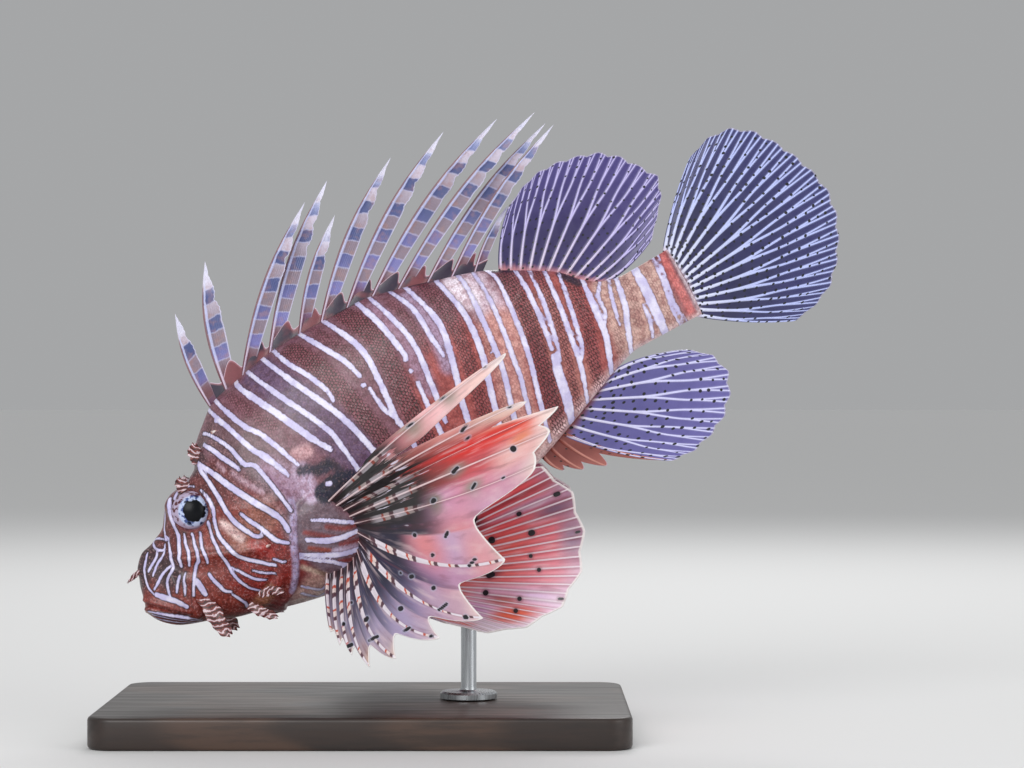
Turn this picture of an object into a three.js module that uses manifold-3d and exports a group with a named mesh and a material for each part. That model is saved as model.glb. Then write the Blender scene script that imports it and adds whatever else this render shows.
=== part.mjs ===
// Red lionfish, Pterois volitans, life size, held nose down on a plain display stand.
// Millimetres, +Z up, origin under the middle of the stand's base, which rests on z = 0.
// The fish is shaped in its own frame: x from the snout back to the tail, z up its back,
// and its left side at -y. It is then pitched nose down and set over the base.
import * as THREE from "three";
import { mergeVertices } from "three/addons/utils/BufferGeometryUtils.js";
import Module from "manifold-3d";

const wasm = await Module();
wasm.setup();

// Driving dimensions of the whole
const NOSE_DOWN = 28.3; // degrees
const SNOUT_PLACE = [-86, 0, 56]; // where the tip of the upper jaw is over the base
const GAP = 0.3; // between pieces that meet

// The trunk in side view: height of the back and of the belly at each distance from the snout
const BACK = [
  [-2.9, -9.4], [-1.2, -4], [0, 1.5], [3, 7], [8, 11.5], [13, 13.5], [17, 16], [21, 21.5],
  [26, 26], [33, 27.5], [38, 30], [42, 37], [49, 43.8], [57, 49.8], [70, 53], [82, 55.8],
  [97, 57.2], [124, 57.3], [139, 54.6], [155, 50.3], [171, 45.6], [184, 39], [198, 30.6],
  [205, 23.6], [211, 19.8], [220, 18], [240.5, 18.6],
];
const BELLY = [
  [-2.9, -9.4], [-0.8, -13.6], [1.9, -16.8], [6, -19.9], [12, -22.3], [18, -24.2], [27, -27.9],
  [34, -29.6], [42, -32.5], [57, -36.1], [75, -39], [95, -40.5], [120, -39], [140, -35],
  [160, -29], [176, -22.8], [190, -17], [202, -12.2], [212, -9.8], [225, -9.8], [240.5, -9.8],
];
// Half width, and the height at which each section is widest
const HALF_WIDTH = [
  [-2.9, 3], [0, 7.6], [5, 10.4], [12, 13], [20, 15], [30, 17], [40, 20], [50, 22.8],
  [62, 24.6], [80, 24], [100, 21.5], [120, 18.8], [145, 15], [170, 11], [195, 8], [215, 6.2],
  [230, 5], [238, 3], [240.5, 1.4],
];
const WIDEST_AT = [
  [-2.9, -9.4], [0, -8], [10, -9], [20, -6], [32, -3], [45, -4], [62, -3], [80, 2],
  [110, 8], [160, 11], [195, 8], [240.5, 4.4],
];
// The back edge of the gill cover, from the nape down to the throat
const GILL_EDGE = [
  [50, 66], [53, 46], [59, 24], [65.5, 9], [67.3, 2], [65, -5.4], [61, -14], [56.5, -22.5],
  [51.5, -28.5], [45, -32], [39, -42],
];
const GILL_COVER_LIFT = 1.3; // how far the cover's edge stands over the flank behind it
const GILL_COVER_SLOPE = 9; // over what length that lift fades forwards
const GILL_COVER_TOP = 30; // above this height the cover no longer stands out
const BELLY_POWER = 0.85; // how square the lower half of a section is
const ROOF_POWER = 1.25; // the head's roof is steeper than the flanks
const TAIL_START = 214;
const TAIL_END = 240.5;

// The head
const HEAD_SIDES = 34;
const TRUNK_SIDES = 26;
const ABOVE_ALL = 90; // side-view bounds of the cuts that part the trunk
const BELOW_ALL = -60;
const MOUTH_LINE = [[-8, 0.4], [-1, -6], [1.8, -8.9], [7.5, -14.4], [11.6, -17.7]];
const JAW_HINGE = [[14.4, -21.4], [16.5, -27], [14, -34], [-8, -34]];
const LIP_RADIUS = 1.25;
const LIP_CORNER = [11.2, -17.4];
const LIP_FRONT = [-0.9, -6.1];
const EYE_CENTRE = [31, 9.6, 16];
const EYE_RADII = [8, 6.6, 8];
const ORBIT_RIM_RADIUS = 7.5;
const ORBIT_RIM_THICKNESS = 1.15;
const FLAP_THICKNESS = 0.9;
const CHEEK_SPINE_RADIUS = 1.3;
const CHEEK_SPINE_FLARE = 0.35; // radians outwards

// Fin rays and webs, half thicknesses
const WEB_HALF = 0.28;
const RAY_HALF_ROOT = 0.85;
const RAY_HALF_TIP = 0.34;
const RIDGE_HALF_WIDTH = 0.75;
const RIM_HALF = 0.4; // half thickness at the margin of the first and the last ray
const BLADE_ROUNDNESS = 0.6; // of the free end of a ray's blade
const HOLLOW_POWER = 7; // how soon a hollow edge falls back towards the ray
const LOBE_FULLNESS = 0.5; // how much of the web's half breadth is left past the hollow
const LOBE_ROUNDNESS = 0.45; // of the lobe past the hollow

// A smooth function through [x, value] pairs that never swings past them
function smoothThrough(pairs) {
  const last = pairs.length - 1;
  const slope = (k) => (pairs[k + 1][1] - pairs[k][1]) / (pairs[k + 1][0] - pairs[k][0]);
  const tangent = pairs.map((pair, k) => {
    if (k === 0) return slope(0);
    if (k === last) return slope(last - 1);
    const before = slope(k - 1);
    const after = slope(k);
    return before * after > 0 ? (2 * before * after) / (before + after) : 0;
  });
  return (x) => {
    const at = Math.min(Math.max(x, pairs[0][0]), pairs[last][0]);
    let k = 0;
    while (k < last - 1 && at > pairs[k + 1][0]) k += 1;
    const span = pairs[k + 1][0] - pairs[k][0];
    const t = (at - pairs[k][0]) / span;
    const t2 = t * t;
    const t3 = t2 * t;
    return (
      (2 * t3 - 3 * t2 + 1) * pairs[k][1] +
      (t3 - 2 * t2 + t) * span * tangent[k] +
      (3 * t2 - 2 * t3) * pairs[k + 1][1] +
      (t3 - t2) * span * tangent[k + 1]
    );
  };
}

const backHeight = smoothThrough(BACK);
const bellyHeight = smoothThrough(BELLY);
const halfWidth = smoothThrough(HALF_WIDTH);
const widestHeight = smoothThrough(WIDEST_AT);
const gillEdgeAt = smoothThrough(GILL_EDGE.map(([s, h]) => [h, s]).reverse());

// The body's sideways curve: the head is turned to the left, the tail a little to the right
function bend(s) {
  const headTurn = s < 90 ? -10 * ((90 - s) / 90) ** 2 : 0;
  const tailTurn = s > 120 ? 7 * ((s - 120) / 120) ** 2 : 0;
  return headTurn + tailTurn;
}

// How square a section is: the head's roof is steeper than the flanks
function roofPower(s) {
  return s < 40 ? ROOF_POWER : Math.max(ROOF_POWER - (s - 40) * 0.01, 1);
}

// Half width of the trunk at a place on its side
function flank(s, h) {
  const level = widestHeight(s);
  const above = h > level;
  const reach = above ? backHeight(s) - level : level - bellyHeight(s);
  const c = Math.min(Math.abs(h - level) / reach, 1);
  return halfWidth(s) * Math.sqrt(1 - c * c) ** (above ? roofPower(s) : BELLY_POWER);
}

// A closed skin of rings from one end of the trunk to the other, grown outwards by a margin
function trunkSkin(stations, sides, grown, lifted) {
  const position = [];
  const index = [];
  for (const s of stations) {
    const level = widestHeight(s);
    for (let k = 0; k < sides; k += 1) {
      const turn = (2 * Math.PI * k) / sides;
      const c = Math.cos(turn);
      const sine = Math.sin(turn);
      const reach = (c > 0 ? backHeight(s) - level : level - bellyHeight(s)) + grown;
      const power = c > 0 ? roofPower(s) : BELLY_POWER;
      const h = level + c * reach;
      const lift = lifted ? gillCoverLift(s, h) : 0;
      const side = (halfWidth(s) + grown + lift) * Math.abs(sine) ** power * Math.sign(sine);
      position.push(s, bend(s) + side, h);
    }
  }
  const rings = stations.length;
  const ringStart = (ring) => ring * sides;
  for (let ring = 0; ring < rings - 1; ring += 1) {
    for (let k = 0; k < sides; k += 1) {
      const a = ringStart(ring) + k;
      const b = ringStart(ring) + ((k + 1) % sides);
      index.push(a, a + sides, b, b, a + sides, b + sides);
    }
  }
  for (const [ring, end] of [[0, -grown], [rings - 1, grown]]) {
    const s = stations[ring];
    const pole = position.length / 3;
    position.push(s + end, bend(s), (backHeight(s) + bellyHeight(s)) / 2);
    for (let k = 0; k < sides; k += 1) {
      const a = ringStart(ring) + k;
      const b = ringStart(ring) + ((k + 1) % sides);
      if (ring === 0) index.push(pole, a, b);
      else index.push(pole, b, a);
    }
  }
  const skin = new THREE.BufferGeometry();
  skin.setAttribute("position", new THREE.Float32BufferAttribute(position, 3));
  skin.setIndex(index);
  return skin;
}

// The gill cover swells towards its back edge, below the nape
function gillCoverLift(s, h) {
  const ahead = Math.max(gillEdgeAt(h) - s, 0);
  const low = THREE.MathUtils.smoothstep(GILL_COVER_TOP - h, 0, 26);
  return GILL_COVER_LIFT * low * Math.exp(-((ahead / GILL_COVER_SLOPE) ** 2));
}

// Solids to join and cut, from and to three.js geometry
function solid(geometry) {
  const bare = geometry.clone();
  bare.deleteAttribute("normal");
  bare.deleteAttribute("uv");
  const merged = mergeVertices(bare, 1e-4);
  const triVerts = new Uint32Array(merged.index.array);
  const mesh = { numProp: 3, vertProperties: merged.attributes.position.array, triVerts };
  const made = new wasm.Manifold(new wasm.Mesh(mesh));
  if (made.volume() > 0) return made;
  for (let i = 0; i < triVerts.length; i += 3) {
    [triVerts[i + 1], triVerts[i + 2]] = [triVerts[i + 2], triVerts[i + 1]];
  }
  return new wasm.Manifold(new wasm.Mesh(mesh));
}

function geometryOf(shape) {
  const mesh = shape.getMesh();
  const geometry = new THREE.BufferGeometry();
  const position = new Float32Array(mesh.vertProperties);
  geometry.setAttribute("position", new THREE.BufferAttribute(position, 3));
  geometry.setIndex(Array.from(mesh.triVerts));
  return geometry;
}

function joined(shapes) {
  return shapes.reduce((whole, piece) => whole.add(piece));
}

// The largest closed surface of a shape: loose scraps and sealed hollows go
function largest(shape) {
  const pieces = shape.decompose();
  return pieces.reduce((best, piece) => (piece.volume() > best.volume() ? piece : best));
}

// A prism right across the fish over a side-view outline
function acrossPrism(outline, shiftS, shiftH) {
  const reach = 140;
  const shape = new THREE.Shape(outline.map(([s, h]) => new THREE.Vector2(s + shiftS, h + shiftH)));
  const prism = new THREE.ExtrudeGeometry(shape, { depth: reach, bevelEnabled: false });
  prism.rotateX(Math.PI / 2);
  prism.translate(0, reach / 2, 0);
  return solid(prism);
}

function ellipsoid([x, y, z], [rx, ry, rz], across, down) {
  const ball = new THREE.SphereGeometry(1, across, down);
  ball.scale(rx, ry, rz);
  ball.translate(x, y, z);
  return ball;
}

// A rounded ridge along a smooth path, sunk into the skin that it is joined with
function ridgeTube(points, radius, sides, steps) {
  const path = new THREE.CatmullRomCurve3(points.map((p) => new THREE.Vector3(...p)));
  const section = new THREE.Shape();
  for (let k = 0; k < sides; k += 1) {
    const turn = (2 * Math.PI * k) / sides;
    const x = radius * Math.cos(turn);
    const y = radius * Math.sin(turn);
    if (k === 0) section.moveTo(x, y);
    else section.lineTo(x, y);
  }
  section.closePath();
  return new THREE.ExtrudeGeometry(section, { steps, bevelEnabled: false, extrudePath: path });
}

// A point on the trunk's left (-1) or right (+1) side, sunk by a depth
function onFlank(side, s, h, sunk) {
  return [s, bend(s) + side * (flank(s, h) - sunk), h];
}

// A thin flap of skin: a side-view outline with thickness, hung at a distance from the middle
function flap(outline, side, away, lean) {
  const shape = new THREE.Shape(outline.map(([s, h]) => new THREE.Vector2(s, h)));
  const leaf = new THREE.ExtrudeGeometry(shape, { depth: FLAP_THICKNESS, bevelEnabled: false });
  leaf.rotateX(Math.PI / 2);
  const position = leaf.attributes.position;
  const top = Math.max(...outline.map(([, h]) => h));
  for (let i = 0; i < position.count; i += 1) {
    const drop = top - position.getZ(i);
    const out = away + lean * drop;
    position.setY(i, bend(position.getX(i)) + side * out + position.getY(i));
  }
  return solid(leaf);
}

// A thin sheet, given by its middle surface, as one closed body: two sides alike, and a rim
function sheetSolid(points, halves, faces) {
  const normals = points.map(() => new THREE.Vector3());
  const edgeA = new THREE.Vector3();
  const edgeB = new THREE.Vector3();
  const owners = new Map();
  for (const [a, b, c] of faces) {
    edgeA.subVectors(points[b], points[a]);
    edgeB.subVectors(points[c], points[a]);
    edgeA.cross(edgeB);
    for (const v of [a, b, c]) normals[v].add(edgeA);
    for (const [from, to] of [[a, b], [b, c], [c, a]]) owners.set(from + "_" + to, [from, to]);
  }
  const count = points.length;
  const position = new Float32Array(count * 6);
  points.forEach((point, v) => {
    const out = normals[v].normalize().multiplyScalar(halves[v]);
    point.clone().add(out).toArray(position, v * 3);
    point.clone().sub(out).toArray(position, (count + v) * 3);
  });
  const index = [];
  for (const [a, b, c] of faces) index.push(a, b, c, count + a, count + c, count + b);
  for (const [from, to] of owners.values()) {
    if (owners.has(to + "_" + from)) continue;
    index.push(to, from, count + from, to, count + from, count + to);
  }
  const sheet = new THREE.BufferGeometry();
  sheet.setAttribute("position", new THREE.BufferAttribute(position, 3));
  sheet.setIndex(index);
  return solid(sheet);
}

// The edge of a ray's own blade: half way to the next ray as far as the web goes, then
// narrowing to the tip, or on a hollow side falling back at once to a narrow lobe
function webEdge(ray, other, name, row, webRow, along) {
  const own = name === "before" ? ray.heldBefore : ray.heldAfter;
  const others = name === "before" ? other.heldAfter : other.heldBefore;
  const t = along(own, row);
  if (row <= webRow) return ray.path(t).add(other.path(along(others, row))).multiplyScalar(0.5);
  const free = (t - own) / (1 - own);
  const away = other.path(others).sub(ray.path(own));
  const full = Math.max(away.length() / 2, ray.blade);
  const hollow = name === "after" && ray.hollow;
  const rounded = (1 - free) ** BLADE_ROUNDNESS;
  const lobed = LOBE_FULLNESS * (1 - free) ** LOBE_ROUNDNESS;
  const fallen = (1 - LOBE_FULLNESS) * (1 - free ** (1 / HOLLOW_POWER)) + lobed;
  const share = hollow ? fallen : rounded;
  return ray.path(t).addScaledVector(away.normalize(), full * share);
}

// The narrow rim of skin outside the first and the last ray, or a free blade's outer half
function outerEdge(ray, inner, t) {
  const middle = ray.path(t);
  const away = middle.clone().sub(inner.path(t)).normalize();
  const free = Math.max((t - ray.heldAfter) / (1 - ray.heldAfter), 0);
  const opened = THREE.MathUtils.smoothstep(t, ray.heldAfter * 0.4, ray.heldAfter + 0.1);
  const blade = ray.blade * opened * (1 - free) ** BLADE_ROUNDNESS;
  return middle.addScaledVector(away, Math.max(RIDGE_HALF_WIDTH * (1.6 - t), blade));
}

// A fin of rays: a webbed fan whose rays are ridges raised on both of its faces. Each ray has
// a path, the part of it that the web before and after it holds, a thickness, the half width
// of its free blade, whether the web leaves its after side hollow and, where it forks, the
// place of the fork.
function rayFin(rays, rows, webRow) {
  const points = [];
  const halves = [];
  const faces = [];
  const last = rays.length - 1;
  const put = (point, half) => points.push(point) && halves.push(half) && points.length - 1;
  const along = (held, row) => {
    if (row <= webRow) return (held * row) / webRow;
    return held + ((1 - held) * (row - webRow)) / (rows - webRow);
  };
  const shared = [];
  const columns = [];
  rays.forEach((ray, i) => {
    const tip = put(ray.path(1), RAY_HALF_TIP);
    const centre = [];
    const flanks = { before: [], after: [] };
    const margins = { before: [], after: [] };
    for (let row = 0; row < rows; row += 1) {
      const t = along((ray.heldBefore + ray.heldAfter) / 2, row);
      const middle = ray.path(t);
      const ridge = ray.thick * (RAY_HALF_ROOT * (1 - t) + RAY_HALF_TIP * t);
      const parted = THREE.MathUtils.smoothstep(t, ray.fork, 1);
      centre.push(put(middle, ray.fork < 1 ? ridge + (WEB_HALF - ridge) * parted : ridge));
      for (const name of ["before", "after"]) {
        const other = rays[name === "before" ? i - 1 : i + 1];
        const edge = other
          ? webEdge(ray, other, name, row, webRow, along)
          : outerEdge(ray, rays[i === 0 ? 1 : last - 1], t);
        const span = edge.distanceTo(middle);
        const near = Math.min((RIDGE_HALF_WIDTH * ray.thick) / span, 0.45);
        const forked = ray.fork < 1;
        const share = forked ? near + (0.52 - near) * parted : near;
        const half = forked ? WEB_HALF + (ridge - WEB_HALF) * Math.max(parted, 0.25) : WEB_HALF;
        if (other) flanks[name].push(put(middle.clone().lerp(edge, share), half));
        if (other && name === "before" && row <= webRow) margins.before.push(shared[i - 1][row]);
        else margins[name].push(put(edge, other ? WEB_HALF : RIM_HALF));
      }
    }
    shared[i] = margins.after;
    const order = [margins.before, flanks.before, centre, flanks.after, margins.after];
    columns.push(...order.filter((column) => column.length).map((column) => ({ column, tip })));
    columns.push(null);
  });
  for (let k = 0; k + 1 < columns.length; k += 1) {
    if (!columns[k] || !columns[k + 1]) continue;
    const { column: left, tip } = columns[k];
    const { column: right } = columns[k + 1];
    for (let row = 0; row + 1 < rows; row += 1) {
      faces.push([left[row], right[row], right[row + 1]], [left[row], right[row + 1], left[row + 1]]);
    }
    faces.push([left[rows - 1], right[rows - 1], tip]);
  }
  return sheetSolid(points, halves, faces);
}

// A ray's path: from its root to its tip, bowed at the middle
function rayPath(root, tip, bow) {
  const middle = root.clone().add(tip).multiplyScalar(0.5).add(bow);
  const curve = new THREE.QuadraticBezierCurve3(root, middle, tip);
  return (t) => curve.getPoint(t);
}

// A middle fin's rays between a base line and a margin line, both in side view
function middleRays({ base, margin, count, sideways, bow, held, fork, sunk }) {
  const baseLine = new THREE.SplineCurve(base.map(([s, h]) => new THREE.Vector2(s, h)));
  const marginLine = new THREE.SplineCurve(margin.map(([s, h]) => new THREE.Vector2(s, h)));
  return Array.from({ length: count }, (unused, i) => {
    const u = i / (count - 1);
    const foot = baseLine.getPointAt(u);
    const end = marginLine.getPointAt(u);
    const inward = foot.clone().sub(end).normalize().multiplyScalar(sunk);
    foot.add(inward);
    const across = end.clone().sub(foot);
    const bowed = new THREE.Vector2(-across.y, across.x).setLength(bow * (1 - 2 * u));
    const root = new THREE.Vector3(foot.x, bend(foot.x), foot.y);
    const tip = new THREE.Vector3(end.x, bend(end.x) + sideways(u), end.y);
    const path = rayPath(root, tip, new THREE.Vector3(bowed.x, 0, bowed.y));
    return { path, heldBefore: held, heldAfter: held, fork, thick: 1, blade: 0, hollow: false };
  });
}

// Trunk, cut into head, lower jaw, torso and tail
const HEAD_STATIONS = [
  -2.7, -1.8, -0.6, 1, 3, 5.5, 8, 11, 14, 17, 20, 23, 26, 30, 34, 38, 42, 46, 50, 54, 58, 62,
  66, 69, 74,
];
const TRUNK_STATIONS = [
  36, 43, 48, 53, 58, 63, 69, 78, 89, 101, 113, 125, 137, 149, 161, 172, 182, 191, 199, 206,
  212, 220, 231, 238, 240.5,
];
const headSkin = solid(trunkSkin(HEAD_STATIONS, HEAD_SIDES, 0, true));
const trunkSolid = solid(trunkSkin(TRUNK_STATIONS, TRUNK_SIDES, 0, false));
const trunkGrown = solid(trunkSkin(TRUNK_STATIONS, TRUNK_SIDES, GAP, false));
const headGrown = solid(trunkSkin(HEAD_STATIONS, HEAD_SIDES, GAP, true));

const gillToFront = [...GILL_EDGE, [-12, -42], [-12, 66]];
const gillToBack = [...GILL_EDGE, [TAIL_START, BELOW_ALL], [TAIL_START, ABOVE_ALL]];
const headRegion = acrossPrism(gillToFront, -GAP / 2, 0);
const torsoRegion = acrossPrism(gillToBack, GAP / 2, 0);
const headReach = acrossPrism(gillToFront, GAP / 2, 0);

// A lip's path round the mouth, raised for the upper lip and lowered for the lower one
function lipPoints(raise) {
  const [cornerS, cornerH] = LIP_CORNER;
  const [frontS, frontH] = LIP_FRONT;
  const places = [0, 0.33, 0.66, 0.92].map((t) => [
    cornerS + (frontS - cornerS) * t + raise * 0.7,
    cornerH + (frontH - cornerH) * t + raise * 0.7,
  ]);
  const left = places.map(([s, h]) => onFlank(-1, s, h, 0.2));
  const right = places.map(([s, h]) => onFlank(1, s, h, 0.2)).reverse();
  const middle = [frontS - 0.5 + raise * 0.4, bend(frontS), frontH + raise * 0.9];
  return [...left, middle, ...right];
}

// Raised forms of the head: orbit, brow, snout, and the ridges of cheek, jaw and gill cover
function headDetails(side) {
  const [eyeS, , eyeH] = EYE_CENTRE;
  const rim = new THREE.TorusGeometry(ORBIT_RIM_RADIUS, ORBIT_RIM_THICKNESS, 5, 12);
  rim.rotateX(Math.PI / 2);
  rim.rotateZ(side * 0.16);
  rim.translate(eyeS, bend(eyeS) + side * (flank(eyeS, eyeH) - 0.1), eyeH);
  const brow = ellipsoid([eyeS - 1, bend(eyeS) + side * 8.2, 26.2], [9.5, 3.6, 4.8], 10, 6);
  const snoutKnob = ellipsoid([5.4, bend(5) + side * 4.6, 8.6], [5.4, 3.4, 5.2], 8, 6);
  const cheekPath = [[15, 4], [22, 1], [31, -2], [41, -6], [50, -9]];
  const cheekRidge = ridgeTube(cheekPath.map(([s, h]) => onFlank(side, s, h, 0.7)), 1.7, 5, 6);
  const jawPath = [[13.5, -3], [13.2, -9], [13.6, -14], [15, -19.5]];
  const maxilla = ridgeTube(jawPath.map(([s, h]) => onFlank(side, s, h, 1)), 2.1, 5, 5);
  const coverPath = [[52, -4], [54.5, -11], [52, -19], [45, -25]];
  const coverRidge = ridgeTube(coverPath.map(([s, h]) => onFlank(side, s, h, 0.8)), 1.6, 5, 5);
  return [rim, brow, snoutKnob, cheekRidge, maxilla, coverRidge].map(solid);
}

// Small backward spines on the cheek and the gill cover
function cheekSpines(side) {
  const places = [[50, -9, 5.5], [53, -19, 4.6], [46, -26, 4], [43, 33, 4.5], [52, 39, 4.5]];
  return places.map(([s, h, length]) => {
    const spine = new THREE.ConeGeometry(CHEEK_SPINE_RADIUS, length, 4);
    spine.translate(0, length * 0.2, 0);
    spine.rotateZ(side * CHEEK_SPINE_FLARE - Math.PI / 2);
    spine.translate(...onFlank(side, s, h, -0.4));
    return solid(spine);
  });
}

// Flaps of skin on the jaw, cheek, brow, nape and nostril
const JAW_FLAP = [
  [13.2, -16], [21.5, -17.5], [22.6, -21], [26.4, -28], [25.6, -32.6], [20.8, -31.6],
  [18.2, -32.6], [14.2, -23],
];
const CHEEK_FLAP = [[33, -24.5], [39, -25.4], [43.4, -33.4], [40.8, -35.6], [38.4, -32.6], [35, -31]];
const COVER_FLAP = [[38.5, -19], [43, -19.6], [49.6, -25.4], [47.4, -28], [39.4, -24.6]];
const BROW_FLAP = [[31.2, 27.5], [36, 28], [38.6, 33.2], [36.9, 35.4], [35.2, 32.8], [32.6, 33.8]];
const NAPE_FLAP = [[40, 29], [44.4, 33], [44.6, 38.2], [42.4, 43], [39.2, 36]];
const NOSTRIL_FLAP = [[3.4, 4.2], [3, 6.4], [-1.6, 5.2], [-3.4, 3.6], [-1.2, 3.2]];

function headFlaps(side) {
  return [
    flap(JAW_FLAP, side, 12.2, 0.1),
    flap(CHEEK_FLAP, side, 14.5, 0.12),
    flap(COVER_FLAP, side, 18.6, 0.1),
    flap(BROW_FLAP, side, 8.4, 0),
    flap(NAPE_FLAP, side, 9, -0.1),
    flap(NOSTRIL_FLAP, side, 4.6, 0),
  ];
}

function eyeball(side, grown) {
  const [s, out, h] = EYE_CENTRE;
  const radii = EYE_RADII.map((r) => r + grown);
  const place = [s, bend(s) + side * out, h];
  return ellipsoid(place, radii, 14, 10);
}

function nostril(side, s, h) {
  return solid(ellipsoid(onFlank(side, s, h, 0), [1.2, 1.6, 1.2], 6, 4));
}

const upperLip = solid(ridgeTube(lipPoints(LIP_RADIUS), LIP_RADIUS, 5, 8));
const lowerLip = solid(ridgeTube(lipPoints(-LIP_RADIUS), LIP_RADIUS, 5, 8));
const wholeHead = joined([headSkin, upperLip, lowerLip]);
const jawOutline = [...MOUTH_LINE, ...JAW_HINGE];
const jawGap = GAP * 0.36; // along and up, each way
const jawOutlineLow = acrossPrism(jawOutline, -jawGap, -jawGap);
const jawOutlineHigh = acrossPrism(jawOutline, jawGap, jawGap);
const bothSides = [-1, 1];
const headForms = bothSides.flatMap((side) => [...headDetails(side), ...cheekSpines(side)]);
const sockets = joined(bothSides.map((side) => solid(eyeball(side, GAP))));
const NOSTRILS = [[11, 9.4], [17.4, 11.5]];
const nostrils = joined(bothSides.flatMap((side) => NOSTRILS.map(([s, h]) => nostril(side, s, h))));
const lowerJaw = largest(wholeHead.intersect(jawOutlineLow));
const head = largest(
  joined([wholeHead.intersect(headRegion).subtract(jawOutlineHigh), ...headForms])
    .intersect(headRegion)
    .subtract(jawOutlineHigh)
    .add(joined(bothSides.flatMap(headFlaps)))
    .subtract(lowerJaw)
    .subtract(sockets)
    .subtract(nostrils),
);
const torso = largest(trunkSolid.intersect(torsoRegion));
const tailStart = TAIL_START + GAP;
const pastTail = TAIL_END + 9;
const tailOutline = [
  [tailStart, BELOW_ALL], [pastTail, BELOW_ALL], [pastTail, ABOVE_ALL], [tailStart, ABOVE_ALL],
];
const tailRegion = acrossPrism(tailOutline, 0, 0);
const tail = largest(trunkSolid.intersect(tailRegion));

// The trunk with its gap, which every fin's root is cut by
const carrier = joined([trunkGrown, headGrown.intersect(headReach)]);
function seated(fin) {
  return largest(fin.subtract(carrier));
}

// Spiny part of the dorsal fin: one row for each spine, in order from the nape:
// where it leaves the back, its length, its angle from the body's line, its blade's width
const DORSAL_SPINES = [
  [57, 37, 85, 5.4], [66, 49, 74, 7.2], [75, 68, 43, 6.2], [88, 68, 45, 6.4], [101, 46, 47, 5.2],
  [111, 67, 40.5, 6], [122.5, 75, 34, 6], [133, 82, 28, 6], [143, 84, 25, 5.6],
  [154, 75, 26.5, 5.4], [163, 69, 29, 5], [171, 28, 38, 3.6],
];
const SPINE_LEAN = 3.2; // degrees, to the left and right by turns
const SPINE_SUNK = 5;
const SPINE_THICKNESS = 1.7;
const SPINE_ROWS = 6;
const SPINE_ARCH = 0.035; // of its length, how far a spine bends back
const WEB_HOLLOW_HEIGHT = 6.5; // of the web half way between two spines
const WEB_FOOT = -4; // how deep the web is set in the back

// A spine is a stiff rod along the front edge of a narrow blade that ends in a point
function dorsalSpine([s, length, angle, width], i) {
  const lean = THREE.MathUtils.degToRad(SPINE_LEAN * (i % 2 ? 1 : -1));
  const rise = THREE.MathUtils.degToRad(angle);
  const along = new THREE.Vector3(Math.cos(rise), Math.sin(lean), Math.sin(rise)).normalize();
  const behind = new THREE.Vector3(Math.sin(rise), 0, -Math.cos(rise));
  const foot = new THREE.Vector3(s, bend(s), backHeight(s)).addScaledVector(along, -SPINE_SUNK);
  const whole = length + SPINE_SUNK;
  const arch = SPINE_ARCH * length;
  const rows = SPINE_ROWS;
  const position = [];
  const index = [];
  for (let row = 0; row < rows; row += 1) {
    const t = row / rows;
    const notched = (row % 2 ? 0.9 : 1.06) * (1 - t ** 5);
    const blade = width * (0.62 + 0.5 * Math.sin(Math.PI * t ** 0.9)) * notched;
    const middle = foot.clone().addScaledVector(along, whole * t);
    middle.addScaledVector(behind, arch * 4 * t * (t - 1));
    const thick = (SPINE_THICKNESS / 2) * (1 - 0.62 * t);
    const front = -blade / 2;
    const section = [[front, 0], [front + thick, thick], [blade / 2, 0], [front + thick, -thick]];
    for (const [back, out] of section) {
      const corner = middle.clone().addScaledVector(behind, back);
      position.push(corner.x, corner.y + out, corner.z);
    }
  }
  const tip = foot.clone().addScaledVector(along, whole).addScaledVector(behind, -0.12 * width);
  position.push(...tip.toArray(), ...foot.toArray());
  const tipIndex = rows * 4;
  for (let k = 0; k < 4; k += 1) {
    const next = (k + 1) % 4;
    for (let row = 0; row + 1 < rows; row += 1) {
      const a = row * 4 + k;
      const b = row * 4 + next;
      index.push(a, b, b + 4, a, b + 4, a + 4);
    }
    index.push((rows - 1) * 4 + k, (rows - 1) * 4 + next, tipIndex);
    index.push(next, k, tipIndex + 1);
  }
  const spine = new THREE.BufferGeometry();
  spine.setAttribute("position", new THREE.Float32BufferAttribute(position, 3));
  spine.setIndex(index);
  return solid(spine);
}

// The low web that joins the spines' feet, hollowed between each two
function dorsalWeb() {
  const points = [];
  const halves = [];
  const faces = [];
  const column = (s, height, slant) => {
    const rise = THREE.MathUtils.degToRad(slant);
    for (const [reach, half] of [[WEB_FOOT, 0.9], [height, 0.42]]) {
      const x = s + reach * Math.cos(rise);
      points.push(new THREE.Vector3(x, bend(s), backHeight(s) + reach * Math.sin(rise)));
      halves.push(half);
    }
  };
  DORSAL_SPINES.forEach(([s, length, angle], i) => {
    column(s + 1.5, Math.min(0.27 * length, 15), angle);
    const next = DORSAL_SPINES[i + 1];
    if (next) column((s + next[0]) / 2 + 1, WEB_HOLLOW_HEIGHT, (angle + next[2]) / 2);
  });
  for (let a = 0; a + 3 < points.length; a += 2) faces.push([a, a + 2, a + 3], [a, a + 3, a + 1]);
  return sheetSolid(points, halves, faces);
}

const spinyDorsal = seated(joined([dorsalWeb(), ...DORSAL_SPINES.map(dorsalSpine)]));

// Soft part of the dorsal fin, led by the last spine
const SOFT_DORSAL = {
  base: [[179.5, 41.6], [188, 36.8], [198, 30.4], [205, 24], [211, 19.8]],
  margin: [
    [194, 62.6], [206, 68.2], [219, 68.6], [236, 63.6], [246, 52], [250.5, 43.5], [245, 35],
    [236.5, 25.5],
  ],
  count: 11,
  sideways: (u) => 5 * Math.sin(Math.PI * u) - 2,
  bow: 4,
  held: 0.98,
  fork: 0.45,
  sunk: 4,
};
const softDorsal = seated(rayFin(middleRays(SOFT_DORSAL), 4, 3));

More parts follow.
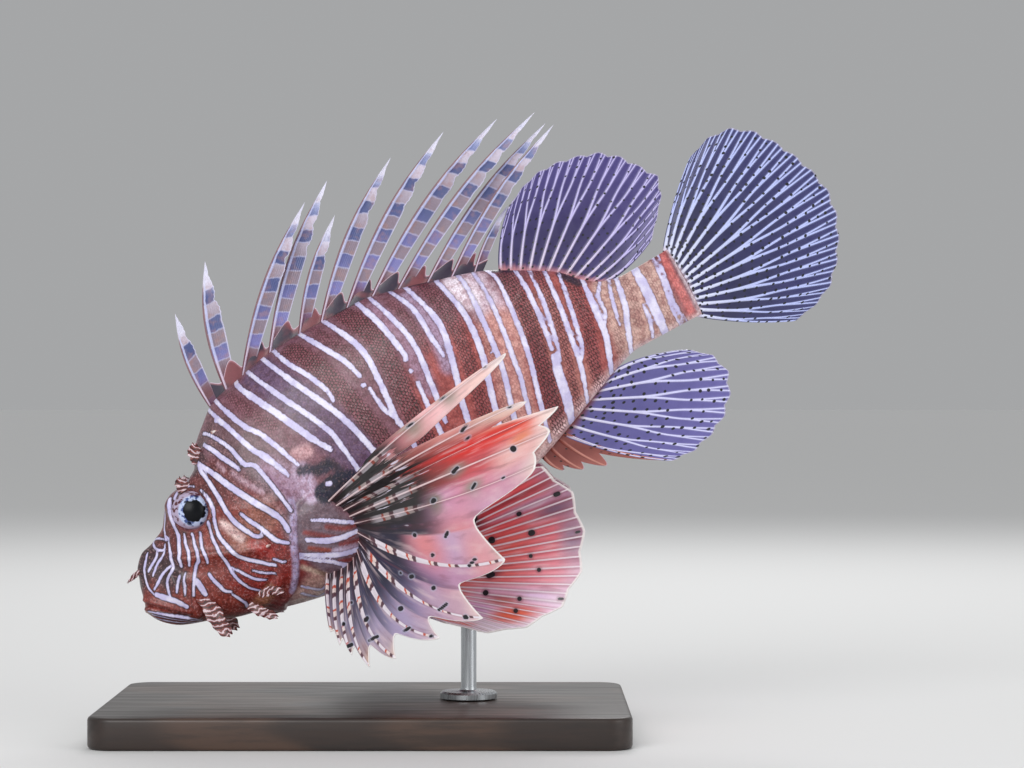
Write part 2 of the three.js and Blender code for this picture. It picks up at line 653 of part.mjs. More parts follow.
// Tail fin
const TAIL_FIN = {
  base: [[238, 17.4], [238.6, 10], [238.8, 4.4], [238.4, -2], [237.6, -8.6]],
  margin: [
    [266, 46.6], [279, 50.2], [291, 44.6], [301.6, 27.6], [306.8, 8], [301, -10.6],
    [288, -25.4], [272, -29.6],
  ],
  count: 12,
  sideways: (u) => 6 - 5 * Math.sin(Math.PI * u),
  bow: 3.2,
  held: 0.985,
  fork: 0.4,
  sunk: 3.4,
};
const tailFin = seated(rayFin(middleRays(TAIL_FIN), 4, 3));

// Anal fin: three short spines, then the soft rays
const ANAL_FIN = {
  base: [[171, -25.4], [180, -21.6], [189, -17.6], [197, -14.2]],
  margin: [[203, -54.6], [211, -55.4], [227.3, -50], [237.4, -38], [236.8, -27.6], [229, -20.2]],
  count: 8,
  sideways: (u) => 3 * Math.sin(Math.PI * u),
  bow: -4.5,
  held: 0.98,
  fork: 0.45,
  sunk: 4,
};
const ANAL_SPINES = [
  [[158.6, -26.6], [163, -37.6]],
  [[162.6, -25.4], [170, -41]],
  [[167, -24.6], [178.6, -44]],
];
const analSpines = ANAL_SPINES.map(([[footS, footH], [tipS, tipH]]) => ({
  path: rayPath(
    new THREE.Vector3(footS, bend(footS), footH),
    new THREE.Vector3(tipS, bend(tipS), tipH),
    new THREE.Vector3(-1.5, 0, -1.5),
  ),
  heldBefore: 0.72,
  heldAfter: 0.72,
  fork: 1,
  thick: 1.25,
  blade: 0,
  hollow: false,
}));
const analFin = seated(rayFin([...analSpines, ...middleRays(ANAL_FIN)], 4, 3));

// Pectoral fins: from the top ray down, each ray's tip (along, outwards, up), how much of it
// and of the next ray the web between them holds, how far its middle bows (along, up), and the
// half width of its free blade. Below the fifth ray each web leaves its upper ray early and
// runs out to the tip of the lower one, so that the margin is cut into hollow lobes.
const PECTORAL_RAYS = [
  { tip: [164.9, 70, 12.1], web: [0.3, 0.3], bow: [0, 3], blade: 7 },
  { tip: [162.2, 77, -6.4], web: [0.66, 0.88], bow: [0, 3], blade: 3 },
  { tip: [172.4, 81, -13.8], web: [0.93, 0.94], bow: [0, 2] },
  { tip: [165.4, 84, -20.4], web: [0.95, 0.96], bow: [0, 0] },
  { tip: [155.2, 86, -28.4], web: [0.6, 0.97], bow: [3, -5], hollow: true },
  { tip: [129.6, 86, -52.9], web: [0.66, 0.97], bow: [-4, -13], hollow: true },
  { tip: [112.4, 80, -68.1], web: [0.64, 0.97], bow: [-9, -12], hollow: true },
  { tip: [95.2, 76, -67.2], web: [0.66, 0.97], bow: [-13, -10], hollow: true },
  { tip: [77.2, 70, -66.6], web: [0.7, 0.97], bow: [-11, -6], hollow: true },
  { tip: [66.6, 62, -65.4], web: [0.74, 0.97], bow: [-8, -3], hollow: true },
  { tip: [62.3, 55, -58.8], web: [0.78, 0.97], bow: [-5, -2], hollow: true },
  { tip: [59.7, 50, -53.7], web: [0.8, 0.97], bow: [-3, -2], hollow: true },
  { tip: [58.7, 46, -48], web: [0.97, 0.97], bow: [-2, -2] },
];
const PECTORAL_BULGE = 7; // how far the rays bow outwards
const PECTORAL_FOOT = [
  [79, -5], [82.4, -11], [83.6, -17], [82.6, -22.6], [78.6, -27.4], [72, -29.4], [65.6, -29],
];
const PECTORAL_LOBE = { centre: [73.5, -16], along: 13, up: 16.5, thick: 4.6 };
const FOOT_SUNK = 0.6;

function pectoralFin(side) {
  const foot = new THREE.SplineCurve(PECTORAL_FOOT.map(([s, h]) => new THREE.Vector2(s, h)));
  const last = PECTORAL_RAYS.length - 1;
  const rays = PECTORAL_RAYS.map(({ tip: [s, out, h], web, bow: [bowS, bowH], blade, hollow }, i) => {
    const at = foot.getPointAt(i / last);
    const root = new THREE.Vector3(at.x, bend(at.x) + side * (flank(at.x, at.y) + FOOT_SUNK), at.y);
    const tip = new THREE.Vector3(s, side * out, h);
    const path = rayPath(root, tip, new THREE.Vector3(bowS, side * PECTORAL_BULGE, bowH));
    const heldBefore = i > 0 ? PECTORAL_RAYS[i - 1].web[1] : web[0];
    const form = { fork: 1, thick: 1.15, blade: blade ?? 0, hollow: hollow ?? false };
    return { path, heldBefore, heldAfter: web[0], ...form };
  });
  const { centre, along, up, thick } = PECTORAL_LOBE;
  const [lobeS, lobeH] = centre;
  const place = [lobeS, bend(lobeS) + side * (flank(lobeS, lobeH) - 1.2), lobeH];
  const lobe = solid(ellipsoid(place, [along, thick, up], 12, 8));
  return seated(rayFin(rays, 5, 3).add(lobe));
}

// Pelvic fins: a spine and five rays that fork
const PELVIC_FOOT = [[72, -36.6], [80, -37.6]];
const PELVIC_MARGIN = [
  [98, -66], [113, -78.9], [128.7, -82], [143, -79.8], [156, -67.6], [162.6, -49],
  [158, -32.6], [143, -25.6],
];
const PELVIC_RAYS = 8;
const PELVIC_HELD = 0.98;

function pelvicFin(side) {
  const margin = new THREE.SplineCurve(PELVIC_MARGIN.map(([s, h]) => new THREE.Vector2(s, h)));
  const rays = Array.from({ length: PELVIC_RAYS }, (unused, i) => {
    const u = i / (PELVIC_RAYS - 1);
    const end = margin.getPointAt(u);
    const [first, final] = PELVIC_FOOT;
    const s = first[0] + (final[0] - first[0]) * u;
    const h = first[1] + (final[1] - first[1]) * u;
    const root = new THREE.Vector3(s, bend(s) + side * (8 + 1.5 * u), h);
    const tip = new THREE.Vector3(end.x, side * (40 - 13 * u), end.y);
    const bow = new THREE.Vector3(0, side * 5, 5 * (u - 0.5));
    const path = rayPath(root, tip, bow);
    const form = { fork: i ? 0.35 : 1, thick: 1, blade: 0, hollow: false };
    return { path, heldBefore: PELVIC_HELD, heldAfter: PELVIC_HELD, ...form };
  });
  return seated(rayFin(rays, 5, 4));
}

// The stand: a flat base and one rod with a foot plate and a small pad under the belly
const BASE = { length: 200, width: 140, height: 12, corner: 10, edge: 1.5 };
const ROD = {
  along: 39, radius: 3, plateRadius: 11, plateHeight: 3, padRadius: 5.5, padHeight: 7, top: 110,
  past: 14, sides: 14,
};

function standBase() {
  const { length, width, height, corner, edge } = BASE;
  const x = length / 2 - edge;
  const y = width / 2 - edge;
  const outline = new THREE.Shape();
  outline.moveTo(-x + corner, -y);
  outline.lineTo(x - corner, -y);
  outline.absarc(x - corner, -y + corner, corner, -Math.PI / 2, 0);
  outline.absarc(x - corner, y - corner, corner, 0, Math.PI / 2);
  outline.absarc(-x + corner, y - corner, corner, Math.PI / 2, Math.PI);
  outline.absarc(-x + corner, -y + corner, corner, Math.PI, Math.PI * 1.5);
  const bevel = { bevelEnabled: true, bevelThickness: edge, bevelSize: edge, bevelSegments: 1 };
  const depth = height - 2 * edge;
  const slab = new THREE.ExtrudeGeometry(outline, { depth, curveSegments: 3, ...bevel });
  slab.translate(0, 0, edge);
  return solid(slab);
}

const fishPlace = new THREE.Matrix4()
  .makeTranslation(...SNOUT_PLACE)
  .multiply(new THREE.Matrix4().makeRotationY(THREE.MathUtils.degToRad(-NOSE_DOWN)));

function standRod() {
  const { along, radius, plateRadius, plateHeight, padRadius, padHeight, top, past, sides } = ROD;
  const floor = BASE.height + GAP;
  const belly = trunkSkin(TRUNK_STATIONS, TRUNK_SIDES, GAP, false).applyMatrix4(fishPlace);
  const profile = [
    [0, floor], [plateRadius, floor], [plateRadius, floor + plateHeight - 1],
    [plateRadius - 1, floor + plateHeight], [radius, floor + plateHeight], [radius, top - padHeight],
    [padRadius, top], [padRadius, top + past], [0, top + past],
  ];
  const rod = new THREE.LatheGeometry(profile.map(([r, z]) => new THREE.Vector2(r, z)), sides);
  rod.rotateX(Math.PI / 2);
  rod.translate(along, 0, 0);
  const cut = solid(rod).subtract(solid(belly));
  const pieces = cut.decompose();
  const lowest = (piece) => piece.boundingBox().min[2];
  return pieces.reduce((best, piece) => (lowest(piece) < lowest(best) ? piece : best));
}

// Colours as the fish shows them
const FLESH = new THREE.Color(0x8a4a42);
function named(name, shape, colour, roughness, metalness) {
  const material = new THREE.MeshStandardMaterial({ color: colour, roughness, metalness });
  const mesh = new THREE.Mesh(shape.isBufferGeometry ? shape : geometryOf(shape), material);
  mesh.name = name;
  return mesh;
}

const fish = new THREE.Group();
fish.add(named("head", head, FLESH, 0.55, 0));
fish.add(named("lower_jaw", lowerJaw, 0xa86a60, 0.55, 0));
fish.add(named("torso", torso, 0x95574c, 0.55, 0));
fish.add(named("tail", tail, 0xc79a92, 0.55, 0));
fish.add(named("spiny_dorsal_fin", spinyDorsal, 0xa5a3b5, 0.5, 0));
fish.add(named("soft_dorsal_fin", softDorsal, 0x6a5a74, 0.5, 0));
fish.add(named("tail_fin", tailFin, 0x5c5c86, 0.5, 0));
fish.add(named("anal_fin", analFin, 0x8a7896, 0.5, 0));
for (const [label, side] of [["left", -1], ["right", 1]]) {
  fish.add(named("eye_" + label, eyeball(side, 0), 0x1a2338, 0.12, 0));
  fish.add(named("pectoral_fin_" + label, pectoralFin(side), 0xc9807c, 0.5, 0));
  fish.add(named("pelvic_fin_" + label, pelvicFin(side), 0xc8686a, 0.5, 0));
}
fish.applyMatrix4(fishPlace);

const lionfish = new THREE.Group();
lionfish.add(fish);
lionfish.add(named("stand_base", standBase(), 0x2b2725, 0.5, 0));
lionfish.add(named("stand_rod", standRod(), 0xb8bcc0, 0.3, 1));

export default lionfish;
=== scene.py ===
# Red lionfish, Pterois volitans, life size, held nose down on a plain display stand.
# Metres and +Z up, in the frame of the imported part. The fish is shaped in millimetres in its
# own frame: s from the snout back to the tail, y to its right side, h up its back.
import math

import bmesh
import bpy
import numpy as np
from mathutils import Matrix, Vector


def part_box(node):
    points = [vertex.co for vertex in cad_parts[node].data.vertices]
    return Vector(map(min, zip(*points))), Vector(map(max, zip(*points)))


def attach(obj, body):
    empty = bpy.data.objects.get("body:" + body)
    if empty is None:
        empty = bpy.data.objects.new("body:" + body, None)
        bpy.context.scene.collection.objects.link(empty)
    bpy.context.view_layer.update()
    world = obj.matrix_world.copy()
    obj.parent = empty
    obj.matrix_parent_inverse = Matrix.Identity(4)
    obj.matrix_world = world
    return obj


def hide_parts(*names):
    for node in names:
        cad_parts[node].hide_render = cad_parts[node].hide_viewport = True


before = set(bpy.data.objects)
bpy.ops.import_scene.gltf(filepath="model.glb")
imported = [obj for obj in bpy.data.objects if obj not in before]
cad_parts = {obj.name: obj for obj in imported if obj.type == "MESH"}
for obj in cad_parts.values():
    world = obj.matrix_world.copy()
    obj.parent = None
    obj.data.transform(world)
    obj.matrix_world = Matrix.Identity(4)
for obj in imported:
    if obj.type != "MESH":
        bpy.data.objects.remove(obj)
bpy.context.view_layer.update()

# Camera
# It stands level, 1.2 m from the fish's left side, and frames the fish and the whole stand.
VIEW_DISTANCE = 1.2
VIEW_CENTRE_X = 0.0557
VIEW_CENTRE_Z = 0.1336
VIEW_WIDTH = 0.3953
SENSOR_WIDTH = 36

camera = bpy.data.objects.new("camera", bpy.data.cameras.new("camera"))
camera.data.sensor_width = SENSOR_WIDTH
camera.data.lens = SENSOR_WIDTH * VIEW_DISTANCE / VIEW_WIDTH
camera.location = (VIEW_CENTRE_X, -VIEW_DISTANCE, VIEW_CENTRE_Z)
camera.rotation_euler = (math.pi / 2, 0, 0)
bpy.context.scene.collection.objects.link(camera)
bpy.context.scene.camera = camera

# Studio
# A pale floor under pale air, a large soft lamp high in front, a weaker one at the right and
# one from behind and above, which draws the edges of the fins.
FLOOR_SIZE = 30.0
FLOOR_COLOUR = (0.76, 0.76, 0.755, 1)
FLOOR_CLOUD = (0.78, 0.78, 0.78, 1)
AIR_COLOUR = (0.98, 0.99, 1, 1)
AIR_STRENGTH = 0.5
BACKGROUND_COLOUR = (0.377, 0.382, 0.388, 1)
LAMPS = {
    "lamp_front": {"place": (-0.5, -1.35, 0.8), "size": 0.9, "power": 12.5},
    "lamp_right": {"place": (1.2, -0.7, 0.5), "size": 0.8, "power": 4},
    "lamp_back": {"place": (0.2, 1.1, 1.1), "size": 0.8, "power": 8},
}


def add_node(tree, kind, inputs=None, **settings):
    """A node with its settings, and with each input set to a value or linked to a socket"""
    node = tree.nodes.new("ShaderNode" + kind)
    for name, value in settings.items():
        setattr(node, name, value)
    for key, value in (inputs or {}).items():
        if isinstance(value, bpy.types.NodeSocket):
            tree.links.new(value, node.inputs[key])
        else:
            node.inputs[key].default_value = value
    return node


def finish_of(name, **constants):
    """A material with its Principled shader, whose constants are set on the shader itself"""
    material = bpy.data.materials.new(name)
    material.use_nodes = True
    shader = material.node_tree.nodes["Principled BSDF"]
    for key, value in constants.items():
        shader.inputs[key.replace("_", " ")].default_value = value
    return material, material.node_tree, shader


floor_mesh = bpy.data.meshes.new("floor")
sheet = bmesh.new()
bmesh.ops.create_grid(sheet, x_segments=1, y_segments=1, size=FLOOR_SIZE / 2)
sheet.to_mesh(floor_mesh)
sheet.free()
floor = bpy.data.objects.new("floor", floor_mesh)
floor.location.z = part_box("stand_base")[0][2]
bpy.context.scene.collection.objects.link(floor)
floor_finish, tree, shader = finish_of("floor_paint", Roughness=0.75)
cloud = add_node(tree, "TexNoise", {"Scale": 3.0, "Detail": 2.0})
shade = add_node(
    tree, "MixRGB", {"Fac": cloud.outputs["Fac"], "Color1": FLOOR_COLOUR, "Color2": FLOOR_CLOUD}
)
tree.links.new(shade.outputs["Color"], shader.inputs["Base Color"])
floor_mesh.materials.append(floor_finish)

air = bpy.data.worlds.new("air")
air.use_nodes = True
tree = air.node_tree
lighting = tree.nodes["Background"]
lighting.inputs["Color"].default_value = AIR_COLOUR
lighting.inputs["Strength"].default_value = AIR_STRENGTH
seen = add_node(tree, "Background", {"Color": BACKGROUND_COLOUR})
to_camera = add_node(tree, "LightPath").outputs["Is Camera Ray"]
both = add_node(tree, "MixShader", {0: to_camera, 1: lighting.outputs[0], 2: seen.outputs[0]})
tree.links.new(both.outputs[0], tree.nodes["World Output"].inputs["Surface"])
bpy.context.scene.world = air
bpy.context.scene.view_settings.view_transform = "Standard"

for name, lamp in LAMPS.items():
    light = bpy.data.lights.new(name, "AREA")
    light.size = lamp["size"]
    light.energy = lamp["power"]
    holder = bpy.data.objects.new(name, light)
    holder.location = lamp["place"]
    aim = camera.location.copy()
    aim.y = 0
    holder.rotation_euler = (aim - holder.location).to_track_quat("-Z", "Y").to_euler()
    bpy.context.scene.collection.objects.link(holder)

# Shape of the body
# The trunk is a row of rounded sections, whose back, belly and half width follow the fish's
# side view and its build. The head turns a little to its left and the tail to its right.
NOSE_DOWN = math.radians(28.3)
SNOUT_PLACE = (-0.086, 0.0, 0.056)
MILLIMETRE = 0.001
FISH_PLACE = (
    Matrix.Translation(SNOUT_PLACE)
    @ Matrix.Rotation(-NOSE_DOWN, 4, "Y")
    @ Matrix.Scale(MILLIMETRE, 4)
)
SNOUT = -2.9
TAIL_END = 240.5
BACK = [
    (-2.9, -9.4), (-1.2, -4), (0, 1.5), (3, 7), (8, 11.5), (13, 13.5), (17, 16), (21, 21.5),
    (26, 26), (33, 27.5), (38, 30), (42, 37), (49, 43.8), (57, 49.8), (70, 53), (82, 55.8),
    (97, 57.2), (124, 57.3), (139, 54.6), (155, 50.3), (171, 45.6), (184, 39), (198, 30.6),
    (205, 23.6), (211, 19.8), (220, 18), (240.5, 18.6),
]
BELLY = [
    (-2.9, -9.4), (-0.8, -13.6), (1.9, -16.8), (6, -19.9), (12, -22.3), (18, -24.2), (27, -27.9),
    (34, -29.6), (42, -32.5), (57, -36.1), (75, -39), (95, -40.5), (120, -39), (140, -35),
    (160, -29), (176, -22.8), (190, -17), (202, -12.2), (212, -9.8), (225, -9.8), (240.5, -9.8),
]
HALF_WIDTH = [
    (-2.9, 3), (0, 7.6), (5, 10.4), (12, 13), (20, 15), (30, 17), (40, 20), (50, 22.8),
    (62, 24.6), (80, 24), (100, 21.5), (120, 18.8), (145, 15), (170, 11), (195, 8), (215, 6.2),
    (230, 5), (238, 3), (240.5, 1.4),
]
WIDEST_AT = [
    (-2.9, -9.4), (0, -8), (10, -9), (20, -6), (32, -3), (45, -4), (62, -3), (80, 2),
    (110, 8), (160, 11), (195, 8), (240.5, 4.4),
]
GILL_EDGE = [
    (39, -42), (45, -32), (51.5, -28.5), (56.5, -22.5), (61, -14), (65, -5.4), (67.3, 2),
    (65.5, 9), (59, 24), (53, 46), (50, 66),
]
BELLY_POWER = 0.85
ROOF_POWER = 1.25
ROOF_START = 40
ROOF_FALL = 0.01
HEAD_TURN = 10
HEAD_TURN_END = 90
TAIL_TURN = 7
TAIL_TURN_START = 120


def smooth_through(pairs):
    """A smooth function through the (place, value) pairs that never swings past them"""
    place, value = np.array(pairs, float).T
    slope = np.diff(value) / np.diff(place)
    before, after = slope[:-1], slope[1:]
    total = np.where(before + after == 0, 1, before + after)
    inner = np.where(before * after > 0, 2 * before * after / total, 0)
    tangent = np.concatenate([slope[:1], inner, slope[-1:]])

    def at(wanted):
        wanted = np.clip(wanted, place[0], place[-1])
        k = np.clip(np.searchsorted(place, wanted, side="right") - 1, 0, len(place) - 2)
        span = place[k + 1] - place[k]
        t = (wanted - place[k]) / span
        return (
            (2 * t**3 - 3 * t**2 + 1) * value[k]
            + (t**3 - 2 * t**2 + t) * span * tangent[k]
            + (3 * t**2 - 2 * t**3) * value[k + 1]
            + (t**3 - t**2) * span * tangent[k + 1]
        )

    return at


def smooth_step(value, low, high):
    """0 below low, 1 above high, and smooth between"""
    t = np.clip((value - low) / (high - low), 0, 1)
    return t * t * (3 - 2 * t)


def curve_through(points, count):
    """Points set evenly along a smooth curve through the given ones"""
    points = np.array(points, float)
    line = np.vstack([points[:1], points, points[-1:]])
    t = np.linspace(0, 1, 24, endpoint=False)[:, None]
    spans = [
        line[k + 1]
        + t * (line[k + 2] - line[k]) / 2
        + t**2 * (line[k] - 2.5 * line[k + 1] + 2 * line[k + 2] - line[k + 3] / 2)
        + t**3 * (1.5 * (line[k + 1] - line[k + 2]) + (line[k + 3] - line[k]) / 2)
        for k in range(len(points) - 1)
    ]
    fine = np.vstack([*spans, points[-1:]])
    steps = np.linalg.norm(np.diff(fine, axis=0), axis=1)
    length = np.concatenate([[0], np.cumsum(steps)])
    wanted = np.linspace(0, length[-1], count)
    return np.column_stack([np.interp(wanted, length, column) for column in fine.T])


back_height = smooth_through(BACK)
belly_height = smooth_through(BELLY)
half_width = smooth_through(HALF_WIDTH)
widest_height = smooth_through(WIDEST_AT)
gill_edge_at = smooth_through([(h, s) for s, h in GILL_EDGE])


def bend(s):
    """How far the body's middle line is to the right of straight"""
    before, behind = HEAD_TURN_END - s, s - TAIL_TURN_START
    head_turn = np.where(before > 0, -HEAD_TURN * (before / HEAD_TURN_END) ** 2, 0)
    tail_turn = np.where(behind > 0, TAIL_TURN * (behind / TAIL_TURN_START) ** 2, 0)
    return head_turn + tail_turn


def roof_power(s):
    """How square the upper half of a section is: the head's roof is steeper than the flanks"""
    return np.clip(ROOF_POWER - (s - ROOF_START) * ROOF_FALL, 1, ROOF_POWER)


def flank(s, h):
    """Half width of the body at a place on its side"""
    level = widest_height(s)
    above = h > level
    reach = np.where(above, back_height(s) - level, level - belly_height(s))
    c = np.clip(np.abs(h - level) / np.maximum(reach, 0.01), 0, 1)
    power = np.where(above, roof_power(s), BELLY_POWER)
    return half_width(s) * np.sqrt(1 - c * c) ** power


# Skin
# One skin covers the head, the lower jaw, the trunk and the tail's stalk. It is a ball drawn
# out along the body's sections, then raised and sunk into its lips, ridges, orbits and lobes.
SKIN_AROUND = 320
SKIN_RINGS = 300
POLE = 1e-4
RING_PLACES = [(0, SNOUT), (0.05, 0), (0.46, 66), (1, TAIL_END)]
EYE_CENTRE = (31, 9.6, 16)
MOUTH = [(-1.6, -6.6), (1.8, -8.9), (7.5, -14.4), (11.6, -17.7)]
UPPER_LIP = [(-0.4, -5), (2.8, -7.8), (8.4, -13.4), (12, -16.6)]
LOWER_LIP = [(-1.4, -8.4), (0.6, -10.2), (6.4, -15.6), (10.8, -18.9)]
# Each relief: its line in side view, its half breadth and its height, all in millimetres
RELIEFS = [
    (MOUTH, 0.55, -1.3),
    (UPPER_LIP, 1.1, 0.9),
    (LOWER_LIP, 1.1, 0.9),
    ([(13.5, -2), (13, -8), (13.4, -14), (14.6, -19)], 2.2, 1.5),
    ([(16.6, -7), (16.4, -13), (18, -18)], 0.8, -0.7),
    ([(15, 4), (22, 1), (31, -2), (41, -6), (50, -9)], 1.7, 1.3),
    ([(17, -2), (26, -6), (36, -9.5), (46, -13)], 2.4, -0.6),
    ([(52, -4), (54.5, -11), (52, -19), (45, -25), (36, -28)], 1.7, 1.2),
    ([(50, -4), (51.4, -11), (49, -18), (42.6, -23)], 1.3, -0.7),
    ([(44, 10), (53, 6), (62, 4)], 2.2, 0.8),
    ([(38.6, 24), (44, 31), (50, 36)], 2.2, 1.3),
    ([(4, 6), (6, 10.4)], 3.2, 1.5),
    ([(11.5, 8), (14, 12.5)], 2.6, 0.8),
    ([(11, 9.4), (11.2, 9.6)], 0.9, -1.5),
    ([(17.4, 11.5), (17.6, 11.7)], 0.9, -1.4),
    ([(60, -26), (66, -31), (76, -34)], 3.0, 0.7),
]
FOLD_BREADTH = 0.7
FOLD_DEPTH = 0.45
THROAT_FOLDS = [
    ([(30 + 4 * k, -25.5 - k), (36 + 4 * k, -30 - k), (46 + 3 * k, -35)], FOLD_BREADTH, -FOLD_DEPTH)
    for k in range(4)
]
ORBIT_RADIUS = 7.9
ORBIT_BREADTH = 1.0
ORBIT_HEIGHT = 1.3
SOCKET_DEPTH = 4.0
SOCKET_EDGE = (5, 6.6)
CLEAR_OF_EYE = (6.5, 9)
FACING_SIDEWAYS = (0.05, 0.45)
BROW = [(23, 6.6, 24), (29, 7.4, 27.4), (36, 8.4, 27)]
BROW_BREADTH = 3.4
BROW_HEIGHT = 3.2
GILL_COVER_LIFT = 1.3
GILL_COVER_SLOPE = 9
GILL_COVER_TOP = 30
GILL_COVER_FADE = 26
PECTORAL_LOBE = {"centre": (73.5, -16), "along": 13, "up": 16.5, "height": 3.4}


def coordinates(mesh):
    flat = np.empty(len(mesh.vertices) * 3)
    mesh.vertices.foreach_get("co", flat)
    return flat.reshape(-1, 3)


def set_coordinates(mesh, points):
    mesh.vertices.foreach_set("co", np.ascontiguousarray(points, float).ravel())
    mesh.update()


def mesh_of(name, form):
    """The mesh of a finished bmesh, shaded smooth"""
    mesh = bpy.data.meshes.new(name)
    form.to_mesh(mesh)
    form.free()
    mesh.shade_smooth()
    return mesh


def distance_to(points, line):
    """Least distance of each point from a line of joined straight lengths"""
    least = np.full(len(points), np.inf)
    for start, end in zip(line[:-1], line[1:]):
        along = end - start
        t = np.clip((points - start) @ along / max(along @ along, 1e-9), 0, 1)
        least = np.minimum(least, np.linalg.norm(points - start - t[:, None] * along, axis=1))
    return least


def on_side(pairs):
    """Places on the body's side from (s, h) pairs: (s, out, h)"""
    s, h = np.array(pairs, float).T
    return np.column_stack([s, flank(s, h), h])


def add_attribute(mesh, name, values):
    """A value, or with three columns a colour, at each vertex"""
    if values.ndim == 1:
        mesh.attributes.new(name, "FLOAT", "POINT").data.foreach_set("value", values)
        return
    colours = np.column_stack([values, np.ones(len(values))])
    mesh.attributes.new(name, "FLOAT_COLOR", "POINT").data.foreach_set("color", colours.ravel())


def add_map(mesh, u, v):
    """A UV map from two values at each vertex"""
    corner = np.empty(len(mesh.loops), int)
    mesh.loops.foreach_get("vertex_index", corner)
    flat = np.column_stack([u[corner], v[corner]]).ravel()
    mesh.uv_layers.new(name="surface").uv.foreach_set("vector", flat)


def add_piece(mesh, slot, material, *nodes, place=FISH_PLACE):
    """A piece: put in its place, given its finish, and standing for its nodes"""
    mesh.transform(place)
    mesh.materials.append(material)
    piece = bpy.data.objects.new(mesh.name, mesh)
    bpy.context.scene.collection.objects.link(piece)
    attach(piece, "root")
    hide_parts(*nodes)


ball = bmesh.new()
bmesh.ops.create_uvsphere(ball, u_segments=SKIN_AROUND, v_segments=SKIN_RINGS, radius=1)
skin = mesh_of("skin", ball)
on_ball = coordinates(skin)
ring = np.arccos(np.clip(on_ball[:, 2], -1, 1)) / np.pi
turn = np.arctan2(on_ball[:, 1], on_ball[:, 0])
pole = (ring < POLE) | (ring > 1 - POLE)
s = smooth_through(RING_PLACES)(ring)
level = widest_height(s)
upper = np.cos(turn) > 0
reach = np.where(upper, back_height(s) - level, level - belly_height(s))
h = np.where(pole, (back_height(s) + belly_height(s)) / 2, level + np.cos(turn) * reach)
power = np.where(upper, roof_power(s), BELLY_POWER)
side = np.sign(np.sin(turn))
out = np.where(pole, 0, half_width(s) * np.abs(np.sin(turn)) ** power)
set_coordinates(skin, np.column_stack([s, bend(s) + side * out, h]))
normal = np.empty(len(skin.vertices) * 3)
skin.vertices.foreach_get("normal", normal)
normal = normal.reshape(-1, 3)

side_view = np.column_stack([s, h])
beside = np.column_stack([s, out, h])
flatness = smooth_step(np.abs(normal[:, 1]), *FACING_SIDEWAYS)
rise = np.zeros(len(s))
for line, breadth, height in RELIEFS + THROAT_FOLDS:
    away = distance_to(side_view, curve_through(line, 9))
    rise += height * np.exp(-((away / breadth) ** 2)) * flatness
eye_away = np.hypot(s - EYE_CENTRE[0], h - EYE_CENTRE[2])
rise += ORBIT_HEIGHT * np.exp(-(((eye_away - ORBIT_RADIUS) / ORBIT_BREADTH) ** 2)) * flatness
rise -= SOCKET_DEPTH * smooth_step(-eye_away, -SOCKET_EDGE[1], -SOCKET_EDGE[0]) * flatness
brow_away = distance_to(beside, curve_through(BROW, 9))
brow_rise = BROW_HEIGHT * np.exp(-((brow_away / BROW_BREADTH) ** 2))
rise += brow_rise * smooth_step(eye_away, *CLEAR_OF_EYE)
ahead = gill_edge_at(h) - s
cover = np.exp(-((np.maximum(ahead, 0) / GILL_COVER_SLOPE) ** 2)) * smooth_step(ahead, -0.7, 0.2)
rise += GILL_COVER_LIFT * cover * smooth_step(GILL_COVER_TOP - h, 0, GILL_COVER_FADE)
lobe_s, lobe_h = PECTORAL_LOBE["centre"]
lobe_away = ((s - lobe_s) / PECTORAL_LOBE["along"]) ** 2 + ((h - lobe_h) / PECTORAL_LOBE["up"]) ** 2
lobe = 1 - lobe_away
rise += PECTORAL_LOBE["height"] * np.sqrt(np.clip(lobe, 0, 1)) * flatness
set_coordinates(skin, coordinates(skin) + normal * rise[:, None])
add_map(skin, s, back_height(s) - h + np.where(upper, 0.6, 0.3) * out)

